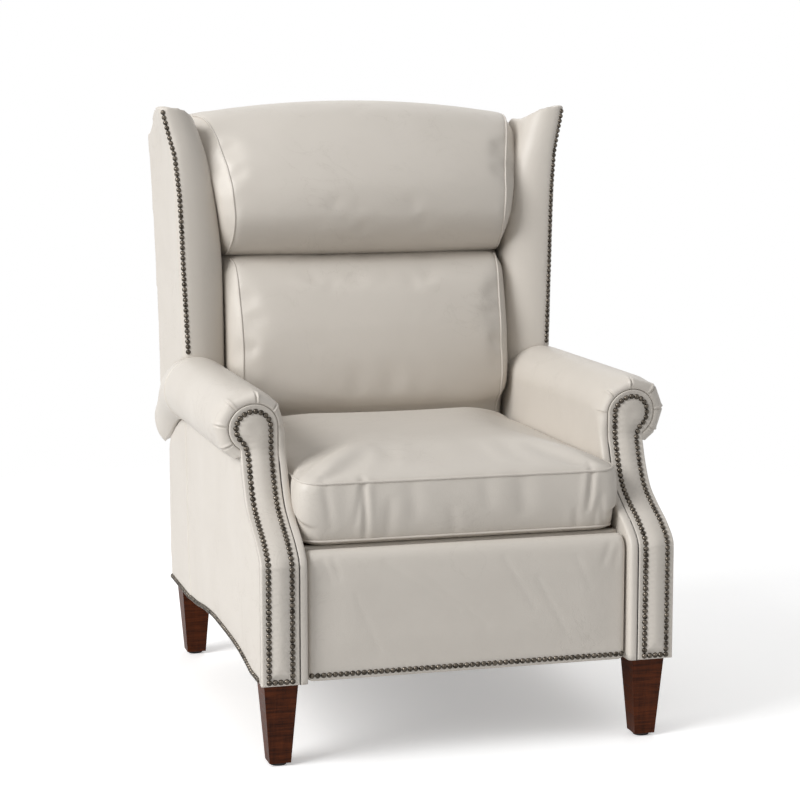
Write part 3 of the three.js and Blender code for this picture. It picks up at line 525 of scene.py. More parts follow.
far_rows = sorted([*np.linspace(front_run, end_rows[0], 34), *(roll_seam_back + step for step in seam_rows)])
straight_rows = ((1, depth, 1, depth) for depth in (*near_rows, *far_rows, *end_rows[1:]))
pad_rings = [arm_pad_ring(*row) for row in (*nose_rows, *straight_rows)]
nose_ring = pad_rings[0].copy()
nose_middle = np.where(nose_ring[:, 2] > roll_z - roll_neck, roll_x, arm_inner + leaf_width / 2)
nose_ring[:, 0] = nose_middle + (nose_ring[:, 0] - nose_middle) * nose_share
arm_pad_left = skin_rings("arm_pad_cover_left", [nose_ring, *pad_rings])
finish_pair(arm_pad_left, "arm_pad", "base", fill=0.85)


# Arm facings: a board and a thin pad under leather, cut to the arm's outline with a scroll at the top.
# A row of nails pulls the leather down all round, so the middle stands a little proud.
facing_inner = 0.3003
facing_outer = 0.365
facing_edge_round = 0.0024
facing_crown = 0.0052
nail_inset = 0.0125
nail_dent = 0.0013
nail_pitch = 0.0100
nail_dent_width = 0.0045
gather_depth = 0.00025
across_points = 34


def facing_limits(z):
    lift = z - scroll_z
    chord = math.sqrt(max(0, scroll_radius ** 2 - lift ** 2))
    if lift > 0:
        return scroll_x - chord, scroll_x + chord
    return facing_inner, max(facing_outer, scroll_x + chord)


def distance_to_line(points, line):
    """How far each (a, b) point is from a polyline."""
    nearest = np.full(len(points), 1e9)
    for start, end in zip(line, line[1:]):
        along = end - start
        share = np.clip((points - start) @ along / max(along @ along, 1e-12), 0, 1)
        nearest = np.minimum(nearest, np.linalg.norm(points - start - share[:, None] * along, axis=1))
    return nearest


def facing_rows():
    straight = np.linspace(body_bottom, scroll_z, 220, endpoint=False)
    turned = scroll_z + scroll_radius * np.sin(np.linspace(0, math.pi / 2, 26)[:-1])
    return [*straight, *turned, scroll_z + scroll_radius * 0.9995]


def arm_facing():
    rows = facing_rows()
    limits = [facing_limits(z) for z in rows]
    inner_line = [(low, z) for (low, high), z in zip(limits, rows)]
    outer_line = [(high, z) for (low, high), z in zip(limits, rows)]
    outline = np.array([*inner_line, *outer_line[::-1], inner_line[0]])
    across = 0.5 - 0.5 * np.cos(np.linspace(0, math.pi, across_points))
    rings = []
    for (low, high), z in zip(limits, rows):
        xs = low + (high - low) * across
        level = np.full(across_points, z)
        inside = distance_to_line(np.stack([xs, level], axis=1), outline)
        turn = np.clip(1 - inside / facing_edge_round, 0, 1)
        back = facing_edge_round * (1 - np.sqrt(1 - turn ** 2))
        back -= facing_crown * ease(nail_inset * 0.5, nail_inset * 2.6, inside)
        back += nail_dent * bump_at(inside, nail_inset, nail_dent_width)
        gather = math.sin(2 * math.pi * z / nail_pitch) * bump_at(inside, nail_inset * 1.7, nail_inset / 2)
        back += gather_depth * gather
        front = np.stack([xs, arm_front(z) + back, level], axis=1)
        rear = np.stack([xs[::-1], np.full(across_points, arm_front(z) + facing_depth), level], axis=1)
        rings.append(np.concatenate([front, rear]))
    return skin_rings("arm_facing_cover_left", rings)


arm_facings = finish_pair(arm_facing(), "arm_facing", "base")


# Outside arms: leather drawn over a board and thin padding, with an arched bottom edge.
# A straight seam runs up near the rear, and a row of nails follows the bottom edge.
def bake(piece):
    """Makes the result of a piece's modifiers its mesh."""
    graph = bpy.context.evaluated_depsgraph_get()
    old = piece.data
    done = bpy.data.meshes.new_from_object(piece.evaluated_get(graph))
    piece.modifiers.clear()
    piece.data = done
    bpy.data.meshes.remove(old)
    piece.data.shade_smooth()


def rounded(piece, passes):
    smooth = piece.modifiers.new("rounding", "SMOOTH")
    smooth.factor = 0.5
    smooth.iterations = passes


def rewoven(piece, cell, passes):
    """Rebuilds a piece as an even skin of this cell size, and rounds it by smoothing passes."""
    remesh = piece.modifiers.new("even_skin", "REMESH")
    remesh.mode = "VOXEL"
    remesh.voxel_size = cell
    rounded(piece, passes)
    bake(piece)
    return piece


def refined(piece, passes=0):
    """Evens out a cover's small dents by smoothing passes, and gives it one subdivision."""
    if passes:
        rounded(piece, passes)
    finer = piece.modifiers.new("finer_skin", "SUBSURF")
    finer.levels = 1
    bake(piece)
    return piece


def skin_from_node(node, name, cell, passes):
    return rewoven(new_piece(name, get_points(cad[node]), face_list(cad[node])), cell, passes)


side_x = 0.365
side_cell = 0.004
side_puff = 0.0022
side_front_rim, side_low_rim, side_low_flat = 0.09, 0.05, 0.02
side_seam_y, side_seam_z = (0.200, 0.222), (0.150, 0.500)
face_margin = 0.005

outside_left = refined(skin_from_node("outside_arm_left", "outside_arm_cover_left", side_cell, 3))
side_points = get_points(outside_left)
x, y, z = side_points.T
puffed = side_puff * ease(0, side_front_rim, y - arm_front(z) - facing_depth)
puffed *= ease(0, side_low_rim, z - body_bottom - side_low_flat)
from_seam = y - np.interp(z, side_seam_z, side_seam_y)
lapped = seam_lap * (0.5 + 0.5 * np.tanh(from_seam / seam_width))
x += np.where(x > side_x - face_margin, puffed + lapped, 0)
set_points(outside_left, side_points)
outside_arms = finish_pair(outside_left, "outside_arm", "base")


# Nail trim: domed upholstery nails with antiqued dark bronze heads, driven side by side.
# Rows go round the facings, along both sides' bottom edges, along the footrest and up the wings.
def tarnish_group():
    """Metal worn bright in places and dark in its clouded patina, at random."""
    tree, place, given = new_group("tarnished_metal", {"Bright": "Color", "Dark": "Color"})
    cloud = noise_node(tree, place, 130, 4, 0.6)
    speck = noise_node(tree, place, 1500, 2)
    patina = step_node(tree, plus(tree, cloud, times(tree, speck, 0.3)), 0.5, 0.8)
    return give(
        tree,
        Color=mix_colour(tree, patina, given["Bright"], given["Dark"]),
        Roughness=step_node(tree, patina, 0, 1, 0.19, 0.40),
        Height=speck)


nail_bright = (0.160, 0.138, 0.112, 1)
nail_dark = (0.030, 0.025, 0.020, 1)
nail_relief = 0.00006
nail_metal = new_material(
    "nail_bronze", tarnish_group(), {"Bright": nail_bright, "Dark": nail_dark}, nail_relief, {"Metallic": 1})
nail_radius = 0.00495
nail_height = 0.0047
nail_lift = 0.0004
nail_tilt = 0.05
dome_sides = 12
dome_shares = ((1, 0), (0.985, 0.18), (0.92, 0.42), (0.76, 0.68), (0.52, 0.88), (0.24, 0.98))


def reach_along(path):
    """How far along a path each of its points lies."""
    return np.concatenate([[0], np.cumsum(np.linalg.norm(np.diff(path, axis=0), axis=1))])


def spaced(path, pitch, closed=False):
    """Points at an even pitch along a path, as near to the pitch as its length allows."""
    path = np.array([*path, path[0]] if closed else path, float)
    reach = reach_along(path)
    count = max(2, round(reach[-1] / pitch))
    stops = np.linspace(0, reach[-1], count + 1)
    stops = stops[:-1] if closed else stops
    return np.stack([np.interp(stops, reach, path[:, k]) for k in range(path.shape[1])], axis=1)


def surface_of(cover):
    return BVHTree.FromPolygons([v.co for v in cover.data.vertices], face_list(cover))


def nail_row(name, path, cover, ray, body, nodes=(), closed=False):
    """Domed nails along a path, each set on a cover where a ray in this direction meets it."""
    surface = surface_of(cover)
    ray = Vector(ray)
    points, faces = [], []
    for spot in spaced(path, nail_pitch, closed):
        hit, normal, _, _ = surface.ray_cast(Vector(spot) - ray, ray)
        if hit is None:
            continue
        tilt = Vector([random.uniform(-nail_tilt, nail_tilt) for _ in range(3)])
        up = (normal + tilt).normalized()
        side = up.orthogonal().normalized()
        other = up.cross(side)
        base = len(points)
        for wide, high in dome_shares:
            for k in range(dome_sides):
                angle = 2 * math.pi * k / dome_sides
                rim = (side * math.cos(angle) + other * math.sin(angle)) * nail_radius * wide
                points.append(hit + rim + up * (nail_height * high - nail_lift))
        points.append(hit + up * (nail_height - nail_lift))
        points.append(hit + up * (nail_height - nail_lift))
        last, top = base + (len(dome_shares) - 1) * dome_sides, len(points) - 1
        faces.extend(ring_faces(dome_sides, len(dome_shares), base))
        faces.extend((last + k, last + (k + 1) % dome_sides, top) for k in range(dome_sides))
        faces.append(tuple(base + k for k in reversed(range(dome_sides))))
    finish_piece(new_piece(name, points, faces), body, *nodes, material=nail_metal, finish="nail_metal")


def nail_pair(name, path, covers, ray, body, band="", closed=False):
    """A row of nails on a pair's left cover, and its mirror image on the right one."""
    for side_name, side, cover in zip(("left", "right"), (1, -1), covers):
        flip = np.array([side, 1, 1])
        nodes = [f"{band}_{side_name}"] if band else []
        nail_row(f"{name}_{side_name}", np.array(path) * flip, cover, ray * flip, body, nodes, closed)


ring_radius = scroll_radius - nail_inset
nail_rise = 0.007
nail_base_z = body_bottom + nail_rise
inner_nail_x = facing_inner + nail_inset
outer_nail_x = facing_outer - nail_inset
scroll_turns = np.linspace(176, -38, 40)
scroll_neck = ((0.3585, 0.5305), (0.3545, 0.520))
scroll_neck_z = 0.510
scroll_line = [(inner_nail_x, z) for z in np.linspace(nail_base_z, scroll_z, 60)]
scroll_line += [(scroll_x + ring_radius * math.cos(turn), scroll_z + ring_radius * math.sin(turn))
                for turn in np.radians(scroll_turns)]
scroll_line += [*scroll_neck, (outer_nail_x, scroll_neck_z)]
scroll_line += [(outer_nail_x, z) for z in np.linspace(scroll_neck_z, nail_base_z, 60)[1:]]
scroll_path = [(x, float(arm_front(z)), z) for x, z in scroll_line]
nail_pair("facing_nails", scroll_path, arm_facings, (0, 1, 0), "base", "facing_nail_band", closed=True)

arch_start, arch_rear = 0.084, 0.2038
arch_front = chair_front + arch_start
arch_rise = 0.020
arch_shares = ((0, 0), (0.1, 0.45), (0.22, 0.8), (0.4, 0.97), (0.55, 1), (0.72, 0.72), (0.88, 0.22), (1, 0))
side_nail_start, side_nail_end, side_nail_inset = 0.012, 0.400, 0.0065
side_nail_y = np.linspace(chair_front + facing_depth + side_nail_start, side_nail_end, 120)
arched = arch_rise * read_curve(arch_shares, (side_nail_y - arch_front) / (arch_rear - arch_front))
side_path = [(side_x, y, z) for y, z in zip(side_nail_y, body_bottom + side_nail_inset + arched)]
nail_pair("side_nails", side_path, outside_arms, (-1, 0, 0), "base")


# Rear panel: the fixed lower back of the base, a board under leather between the rear legs.
# Its leather is turned under at the edges and tacked inside.
def panel_rise(points, half, low, high, rims):
    """1 over a panel's middle, easing to 0 at its sides, bottom and top over three rims' widths."""
    x, _, z = points.T
    side_rim, low_rim, high_rim = rims
    return ease(0, side_rim, half - np.abs(x)) * ease(0, low_rim, z - low) * ease(0, high_rim, high - z)


panel_puff = 0.003
panel_cell = 0.005
panel_half, panel_face_y, panel_top = 0.365, 0.4195, 0.419
panel_rims = (0.06, 0.05, 0.05)
rear_panel = skin_from_node("rear_panel", "rear_panel_cover", panel_cell, 3)
panel_points = get_points(rear_panel)
rise = panel_rise(panel_points, panel_half, body_bottom, panel_top, panel_rims)
panel_points[:, 1] += np.where(panel_points[:, 1] > panel_face_y, panel_puff * rise, 0)
set_points(rear_panel, panel_points)
finish_piece(rear_panel, "base", "rear_panel")


# Seat deck: a thin pad of black woven decking over the springs, under the loose cushion.
# It is stretched over the seat box and stapled, and sags a little between the boards.
def decking_group():
    """A plain weave of coarse black yarn."""
    tree, place, given = new_group("decking_weave", {"Color": "Color", "Gap": "Color", "Yarn": "Float"})
    parts = add_node(tree, "ShaderNodeSeparateXYZ", None, {0: place}).outputs
    warp = math_node(tree, "SINE", times(tree, parts["X"], given["Yarn"]))
    weft = math_node(tree, "SINE", times(tree, parts["Y"], given["Yarn"]))
    over = math_node(tree, "ABSOLUTE", times(tree, warp, weft))
    fuzz = noise_node(tree, place, 900, 3)
    height = plus(tree, over, times(tree, fuzz, 0.4))
    return give(
        tree,
        Color=mix_colour(tree, step_node(tree, height, 0.2, 1.1), given["Gap"], given["Color"]),
        Roughness=step_node(tree, fuzz, 0.2, 0.8, 0.78, 0.95),
        Height=height)


yarn_wave = 2600
deck_black = (0.045, 0.043, 0.041, 1)
deck_gap = (0.008, 0.008, 0.008, 1)
deck_relief = 0.0003
decking = new_material(
    "deck_fabric", decking_group(),
    {"Color": deck_black, "Gap": deck_gap, "Yarn": yarn_wave}, deck_relief, {"Sheen Weight": 0.2})
deck_cell = 0.007
deck_sag = 0.006
seat_deck = skin_from_node("seat_deck", "seat_deck_pad", deck_cell, 3)
deck_points = get_points(seat_deck)
deck_low, deck_high = deck_points.min(axis=0), deck_points.max(axis=0)
deck_share = (deck_points - deck_low) / (deck_high - deck_low)
dished = np.sin(math.pi * deck_share[:, 0]) * np.sin(math.pi * deck_share[:, 1])
deck_points[:, 2] -= deck_sag * dished * (deck_share[:, 2] > 0.5)
set_points(seat_deck, deck_points)
finish_piece(seat_deck, "seat_carriage", "seat_deck", material=decking, finish="deck_fabric", fill=0.9)


# Seat cushion: a loose boxed cushion of foam and fibre in leather, with a crowned top.
# A leather welt is sewn round the top and bottom of its boxing, which puckers between them.
def swell(piece, pressure, limit, held):
    """Stuffs a cover: the skin swells under pressure as cloth, no point by more than a limit."""
    start = get_points(piece)
    pinned = piece.vertex_groups.new(name="held")
    pinned.add([int(k) for k in np.flatnonzero(held(start))], 1, "REPLACE")
    cloth = piece.modifiers.new("stuffing", "CLOTH")
    cloth.settings.use_pressure = True
    cloth.settings.uniform_pressure_force = pressure
    cloth.settings.effector_weights.gravity = 0
    cloth.settings.vertex_group_mass = pinned.name
    cloth.settings.tension_stiffness = 18
    cloth.settings.compression_stiffness = 18
    cloth.settings.bending_stiffness = 12
    cloth.collision_settings.use_collision = False
    for step in range(1, 21):
        scene.frame_set(step)
    graph = bpy.context.evaluated_depsgraph_get()
    swollen = np.empty(len(start) * 3)
    piece.evaluated_get(graph).data.vertices.foreach_get("co", swollen)
    moved = swollen.reshape(-1, 3) - start
    length = np.linalg.norm(moved, axis=1)
    kept = limit * np.tanh(length / limit) / np.maximum(length, 1e-9)
    piece.modifiers.clear()
    piece.vertex_groups.clear()
    set_points(piece, start + moved * kept[:, None])
    scene.frame_set(1)


def rounded_outline(half, front, rear, corner, sides):
    """Points round a rectangle with rounded corners, at even angles about its middle."""
    middle = (front + rear) / 2
    bends = []
    for quarter, (x, y) in enumerate(((half - corner, rear - corner), (corner - half, rear - corner),
                                      (corner - half, front + corner), (half - corner, front + corner))):
        for angle in np.linspace(quarter, quarter + 1, 16) * math.pi / 2:
            bends.append((x + corner * math.cos(angle), y + corner * math.sin(angle)))
    dense = spaced(bends, corner / 8, closed=True)
    around = np.arctan2(dense[:, 1] - middle, dense[:, 0])
    angles = (np.arange(sides) + 0.5) * 2 * math.pi / sides - math.pi
    order = np.argsort(around)
    return np.stack([np.interp(angles, around[order], dense[order, k], period=2 * math.pi)
                     for k in (0, 1)], axis=1)


def welt(name, path, cover, thickness, closed=True, sink=0.35):
    """A round leather welt along a path, laid on the nearest place of a cover."""
    surface = surface_of(cover)
    laid = []
    for spot in spaced(path, thickness * 1.3, closed):
        hit, normal, _, _ = surface.find_nearest(Vector(spot))
        laid.append(hit + normal * thickness * (0.5 - sink))
    laid = np.array(laid)
    for _ in range(3):
        if closed:
            laid = (laid + (np.roll(laid, 1, 0) + np.roll(laid, -1, 0)) / 2) / 2
        else:
            laid[1:-1] = (laid[1:-1] + (laid[:-2] + laid[2:]) / 2) / 2
    rings, sides = [], 8
    side = None
    for k, centre in enumerate(laid):
        before = laid[k - 1] if closed or k else centre
        after = laid[(k + 1) % len(laid)] if closed or k + 1 < len(laid) else centre
        along = Vector(after - before).normalized()
        side = (along.orthogonal() if side is None else side - along * side.dot(along)).normalized()
        other = along.cross(side)
        rings.append([Vector(centre) + (side * math.cos(a) + other * math.sin(a)) * thickness / 2
                      for a in (2 * math.pi * j / sides for j in range(sides))])
    if closed:
        rings.append(rings[0])
    return skin_rings(name, rings)


cushion_half, cushion_front, cushion_rear = 0.2800, -0.3965, 0.2100
cushion_low, cushion_seam, cushion_foot = 0.3662, 0.4745, 0.3745
cushion_corner = 0.032
cushion_crown = 0.036
cushion_profile = (
    (0.108, 0, 0), (0.036, 0, 0), (0.017, 0, 0), (0.009, 0.012, 0), (0.004, 0.035, 0), (0.001, 0.07, 0),
    (-0.001, 0.16, 0), (-0.0025, 0.35, 0), (-0.003, 0.52, 0), (-0.0025, 0.7, 0), (-0.001, 0.86, 0),
    (0, 0.96, 0), (0.002, 0.99, 0.03), (0.010, 1, 0.32), (0.022, 1, 0.58), (0.040, 1, 0.79),
    (0.065, 1, 0.92), (0.110, 1, 0.99))
cushion_sides = 360
cushion_cell = 0.006
cushion_limit = 0.016
foot_held, seam_held = 0.003, 0.005


def cushion_outline(inset, z):
    flat = rounded_outline(cushion_half - inset, cushion_front + inset, cushion_rear - inset,
                           cushion_corner, cushion_sides)
    return [(x, y, z) for x, y in flat]


def cushion_held(points):
    z = points[:, 2]
    return (z < cushion_foot + foot_held) | (np.abs(z - cushion_seam) < seam_held)


seat_cushion = skin_rings("seat_cushion_cover", [
    cushion_outline(inset, cushion_low + (cushion_seam - cushion_low) * rise + cushion_crown * crown)
    for inset, rise, crown in cushion_profile])
rewoven(seat_cushion, cushion_cell, 3)
swell(seat_cushion, 4, cushion_limit, cushion_held)
refined(seat_cushion, 5)

# The cushion is pressed flat by the arms, and swells past them at the front, where they recede.
cushion_play = 0.0012
wall_x = arm_inner - cushion_play
corner_swell = 0.0075
swell_low, swell_high = 0.41, 0.500
swell_start, swell_end = 0.018, 0.002
swell_inner, swell_outer = 0.22, 0.275
cushion_points = get_points(seat_cushion)
x, y, z = cushion_points.T
z[:] = np.maximum(z, cushion_low)
past_arm = 1 - ease(arm_front(z) - swell_start, arm_front(z) - swell_end, y)
past_arm *= ease(cushion_foot, swell_low, z) * ease(swell_high, cushion_seam, z)
x += np.sign(x) * corner_swell * past_arm * ease(swell_inner, swell_outer, np.abs(x))
wall = wall_x + corner_swell * past_arm
x[:] = np.clip(x, -wall, wall)

# Puckers in the front boxing, where it is gathered to the welts: place, width, depth, and its z range.
puckers = ((-0.2297, 0.0075, 0.0016, 0.390, 0.490), (-0.1930, 0.0060, 0.0020, 0.400, 0.492),
           (-0.1726, 0.0050, 0.0034, 0.372, 0.484), (-0.1341, 0.0100, 0.0016, 0.372, 0.450),
           (-0.0814, 0.0140, 0.0016, 0.400, 0.480), (-0.0150, 0.0100, 0.0010, 0.370, 0.430),
           (0.0520, 0.0120, 0.0010, 0.415, 0.480), (0.1134, 0.0160, 0.0020, 0.400, 0.488),
           (0.2211, 0.0050, 0.0038, 0.402, 0.492), (0.2390, 0.0060, 0.0016, 0.370, 0.428),
           (0.2560, 0.0055, 0.0018, 0.370, 0.438), (0.2050, 0.0060, 0.0012, 0.370, 0.415))
pucker_lean, lean_wave = 0.14, 90
boxing_start, boxing_end = 0.012, 0.035
lip_share, lip_width, pucker_round = 0.45, 1.6, 0.7
front_boxing = 1 - ease(cushion_front + boxing_start, cushion_front + boxing_end, y)
for pucker_x, pucker_width, pucker_depth, pucker_low, pucker_high in puckers:
    middle, reach = (pucker_low + pucker_high) / 2, (pucker_high - pucker_low) / 2
    tall = np.clip(1 - ((z - middle) / reach) ** 2, 0, 1) ** pucker_round
    fold_x = x - pucker_lean * math.sin(lean_wave * pucker_x) * (z - cushion_foot)
    fold = bump_at(fold_x, pucker_x, pucker_width)
    for side in (-1, 1):
        fold -= lip_share * bump_at(fold_x, pucker_x + side * 2 * pucker_width, lip_width * pucker_width)
    y += pucker_depth * fold * tall * front_boxing
set_points(seat_cushion, cushion_points)
finish_piece(seat_cushion, "seat_carriage", "seat_cushion", fill=0.8)

cushion_welt = 0.0046
for welt_name, welt_z in (("cushion_top_welt", cushion_seam), ("cushion_bottom_welt", cushion_foot)):
    cushion_cord = welt(welt_name, cushion_outline(0, welt_z), seat_cushion, cushion_welt)
    finish_piece(cushion_cord, "seat_carriage")


# Seat front: leather drawn over the seat box's front board and tacked inside it.
# It shows as a thin line under the cushion, and whole when the footrest is out.
def sheathed(name, profile, half_width):
    """A leather sheath of one (y, z) cross-section, closed at both ends."""
    across = np.linspace(-half_width, half_width, 30)
    return skin_rings(name, [[(x, y, z) for y, z in profile] for x in across])


seat_lip_half = 0.2837
seat_lip_profile = (
    (-0.3700, 0.3296), (-0.3700, 0.3280), (-0.3835, 0.3280), (-0.3849, 0.3288), (-0.3854, 0.3330),
    (-0.3862, 0.3400), (-0.3866, 0.3480), (-0.3864, 0.3560), (-0.3856, 0.3620), (-0.3846, 0.3650),
    (-0.3830, 0.3664), (-0.3660, 0.3664), (-0.3660, 0.3661), (-0.3833, 0.3661), (-0.3833, 0.3296))
finish_piece(sheathed("seat_front_cover", seat_lip_profile, seat_lip_half), "seat_carriage")


# Footrest: a padded leather panel on a board, which closes the chair's front between the arms.
# Its top edge is rounded over, and a row of nails runs along the bottom.
footrest_half = 0.2822
footrest_inset = 0.015
footrest_front = chair_front + footrest_inset
footrest_thickness = 0.027
footrest_low, footrest_high = 0.145, 0.365
footrest_cell = 0.004
footrest_puff = 0.004
footrest_flat, footrest_rims = 0.012, (0.08, 0.068, 0.06)
footrest_nail_rise, footrest_nail_end = 0.0115, 0.006
footrest_nail_z = footrest_low + footrest_nail_rise
footrest_back_layer = 0.008
footrest_top_rise, footrest_top_rim = 0.0022, 0.020
footrest_pad = skin_from_node("footrest_pad", "footrest_cover", footrest_cell, 5)
foot_points = get_points(footrest_pad)
x, y, z = foot_points.T
front_side = y < footrest_front + footrest_thickness - footrest_back_layer
rise = panel_rise(foot_points, footrest_half, footrest_low + footrest_flat, footrest_high, footrest_rims)
dent = nail_dent * bump_at(z, footrest_nail_z, nail_dent_width)
y += np.where(front_side, dent - footrest_puff * rise, 0)
z += footrest_top_rise * ease(footrest_high - footrest_top_rim, footrest_high, z)
foot_creases = (((-0.256, 0.350), (-0.243, 0.318), 0.0012), ((-0.238, 0.352), (-0.229, 0.322), 0.0010),
                ((0.252, 0.351), (0.240, 0.322), 0.0012), ((0.268, 0.345), (0.262, 0.318), 0.0009),
                ((-0.150, 0.345), (-0.020, 0.255), 0.0007), ((-0.080, 0.320), (0.030, 0.225), 0.0006),
                ((0.060, 0.340), (0.115, 0.250), 0.0006), ((0.120, 0.300), (0.175, 0.200), 0.0007),
                ((-0.200, 0.290), (-0.160, 0.190), 0.0005), ((0.190, 0.335), (0.215, 0.280), 0.0006))
crease_width = 0.0055
for crease_start, crease_end, crease_depth in foot_creases:
    away = distance_to_line(foot_points[:, [0, 2]], np.array((crease_start, crease_end)))
    y += np.where(front_side, crease_depth * bump_at(away, 0, crease_width), 0)
set_points(footrest_pad, foot_points)
finish_piece(footrest_pad, "footrest", "footrest_pad", fill=0.9)
footrest_wrap_half = 0.2710
footrest_wrap_profile = (
    (-0.4122, 0.3640), (-0.4050, 0.3634), (-0.3975, 0.3610), (-0.3925, 0.3560), (-0.3914, 0.3500),
    (-0.3914, 0.3300), (-0.3926, 0.3300), (-0.3926, 0.3543), (-0.3990, 0.3543), (-0.4122, 0.3543))
finish_piece(sheathed("footrest_wrap", footrest_wrap_profile, footrest_wrap_half), "footrest")
foot_nail_x = footrest_half - footrest_nail_end
foot_nails = [(x, footrest_front, footrest_nail_z) for x in (-foot_nail_x, foot_nail_x)]
nail_row("footrest_nails", foot_nails, footrest_pad, (0, 1, 0), "footrest", ["footrest_nail_band"])


# Back pillows: two stuffed leather pillows on the back's posts, a lumbar one and a taller head one.
# Each has a front panel that wraps over and under, flat sides, and a fine welt between them.
back_rear = 0.4555
back_lean = 0.06
back_top = 1.090
panel_thickness, post_thickness = 0.014, 0.034
touch = 0.0003

lumbar_shares = ((0.62, 1), (0.76, 0.975), (0.85, 0.895), (0.9, 0.8), (0.95, 0.7), (0.985, 0.6), (1, 0.45),
                 (0.99, 0.34), (0.95, 0.26), (0.88, 0.205), (0.78, 0.16), (0.73, 0.1), (0.69, 0))
head_shares = ((0.15, 1), (0.36, 0.992), (0.54, 0.955), (0.69, 0.872), (0.82, 0.737), (0.92, 0.598),
               (0.99, 0.459), (1, 0.316), (0.91, 0.169), (0.72, 0.05), (0.55, 0))
pillow_cell = 0.0055
pillow_limit = 0.007
pillow_held = 0.03
pillow_clear = 0.003
pillow_spread = 0.030
pillow_touch = 0.0008
side_fullness, side_room = 0.026, 0.0185
seam_edge, seam_start = 0.014, 0.006
wing_tip = 1.096
wing_inner = 0.283
wing_spread = 0.077
wing_bend = 3.25


def post_face(z):
    return back_rear - back_lean * (back_top - z) - panel_thickness - post_thickness - 2 * touch


def smooth_path(rows, count, measured=None):
    """Points along a smooth curve through rows of two values, even along those or along measured rows."""
    reach = reach_along(rows if measured is None else measured)
    stops = np.linspace(0, reach[-1], count)
    return np.stack([read_curve(np.stack([reach, rows[:, k]], 1), stops) for k in (0, 1)], axis=1)


def wing_inside(z):
    """The wings' inner faces, which stand upright and spread apart near the top."""
    return wing_inner + wing_spread * np.maximum(0, (z - arm_top) / (wing_tip - arm_top)) ** wing_bend


def seam_place(size, z):
    share = np.maximum(0, (z - size["low"]) / (size["high"] - size["low"]))
    return size["half"] + size["flare"] * share ** 2


def pillow_point(size, across, depth_share, height_share):
    """A place on a pillow: across from -1 to 1, and shares of its depth and height."""
    bulge = 1 - across * across
    high = size["high"] + size["arc"] * bulge * height_share ** 2 - size["low"]
    z = size["low"] + high * height_share
    seam_x = seam_place(size, z)
    out = size["deep"] * depth_share + size["crown"] * bulge * depth_share ** 2
    wide = seam_x + min(wing_inside(z) - pillow_clear - seam_x, pillow_spread) * (1 - depth_share)
    return across * wide, post_face(z) - out, z


def seam_path(size, shares, across):
    return [pillow_point(size, across, depth, height) for depth, height in smooth_path(np.array(shares), 90)]


def pillow(name, size, shares):
    heights = np.linspace(shares[-1][1], shares[0][1], 30)
    rings = []
    for across in np.sin(np.linspace(-math.pi / 2, math.pi / 2, 41)):
        rear = [pillow_point(size, across, 0, height) for height in heights]
        rings.append(seam_path(size, shares, across) + rear)
    cover = rewoven(skin_rings(name, rings), pillow_cell, 4)
    swell(cover, 3, pillow_limit, lambda p: p[:, 1] > post_face(p[:, 2]) - pillow_held)
    refined(cover, 14)
    points = get_points(cover)
    x, _, z = points.T
    from_seam = distance_to_line(points[:, 1:], np.array(seam_path(size, shares, 1))[:, 1:])
    seam_x = seam_place(size, z)
    pressed = ease(seam_x - seam_edge, seam_x - seam_start, np.abs(x))
    pressed *= 1 - np.exp(-(from_seam / side_fullness) ** 2)
    x += np.sign(x) * np.minimum(wing_inside(z) - pillow_touch - np.abs(x), side_room) * pressed
    set_points(cover, points)
    return cover


pillow_welt = 0.0042
lumbar_size = {"low": 0.448, "high": 0.808, "deep": 0.197, "crown": 0.014, "arc": 0, "half": 0.264,
               "flare": 0}
head_size = {"low": 0.807, "high": 1.079, "deep": 0.196, "crown": 0.014, "arc": 0.026, "half": 0.271,
             "flare": 0.023}
for pillow_name, pillow_size, pillow_shares in (("lumbar_pillow", lumbar_size, lumbar_shares),
                                                ("head_pillow", head_size, head_shares)):
    cover = pillow(f"{pillow_name}_cover", pillow_size, pillow_shares)
    finish_piece(cover, "back", pillow_name, fill=0.9)
    for side_name, side in (("right", -1), ("left", 1)):
        seam = seam_path(pillow_size, pillow_shares, side)
        side_cord = welt(f"{pillow_name}_welt_{side_name}", seam, cover, pillow_welt, closed=False)
        finish_piece(side_cord, "back")


# Back apron: a leather strip sewn under the lumbar pillow, which hangs down behind the seat cushion.
# It closes the gap that opens between the pillow and the cushion when the back leans.
apron_half = 0.262
apron_front, apron_rear = 0.2455, 0.2485
apron_low, apron_high = 0.378, 0.4505
apron_hem = 0.012
apron_profile = (
    (apron_front, apron_high), (apron_front, apron_low + apron_hem),
    (apron_front - touch, apron_low + touch), (apron_front + touch, apron_low),
    (apron_rear - touch, apron_low), (apron_rear + touch, apron_low + touch),
    (apron_rear, apron_low + apron_hem), (apron_rear, apron_high))
finish_piece(sheathed("back_apron", apron_profile, apron_half), "back")


# Wings: padded side panels of the back that flare out above the arms, with a scooped top edge.
# The leather rolls over the front edge, and nails close it along the outer corner.
wing_cell = 0.004
wing_scoop = 0.054
wing_front = 0.2118
wing_rise = 0.028
wing_gap = 0.0005
wing_nose = 0.048
wing_foot = 0.560
wing_land = 0.013
wing_edge, wing_turn = 0.002, 0.001
shoulder_drop, shoulder_round = 0.62, 0.96
scoop_start, scoop_end = 0.35, 0.95
nail_low_x, nail_high_x = 0.362, 0.398
root_low_x, root_high_x = 0.386, 0.398
wing_nail_shares = ((0, 0), (0.5, 0.2), (0.75, 0.36), (0.85, 0.5), (0.95, 0.85), (1, 1))
wing_front_shares = ((0, 0), (0.6, 0.35), (0.8, 0.55), (0.95, 0.9), (1, 1))
nose_bends = np.radians((0, 15, 30, 45, 60, 75, 90))


def over_roll(x, y):
    reach = roll_radius + wing_gap
    return roll_z - float(arm_droop(y)) + math.sqrt(max(0, reach ** 2 - (x - roll_x) ** 2))


def panel_face(z):
    return back_rear - back_lean * (back_top - z) - panel_thickness - touch


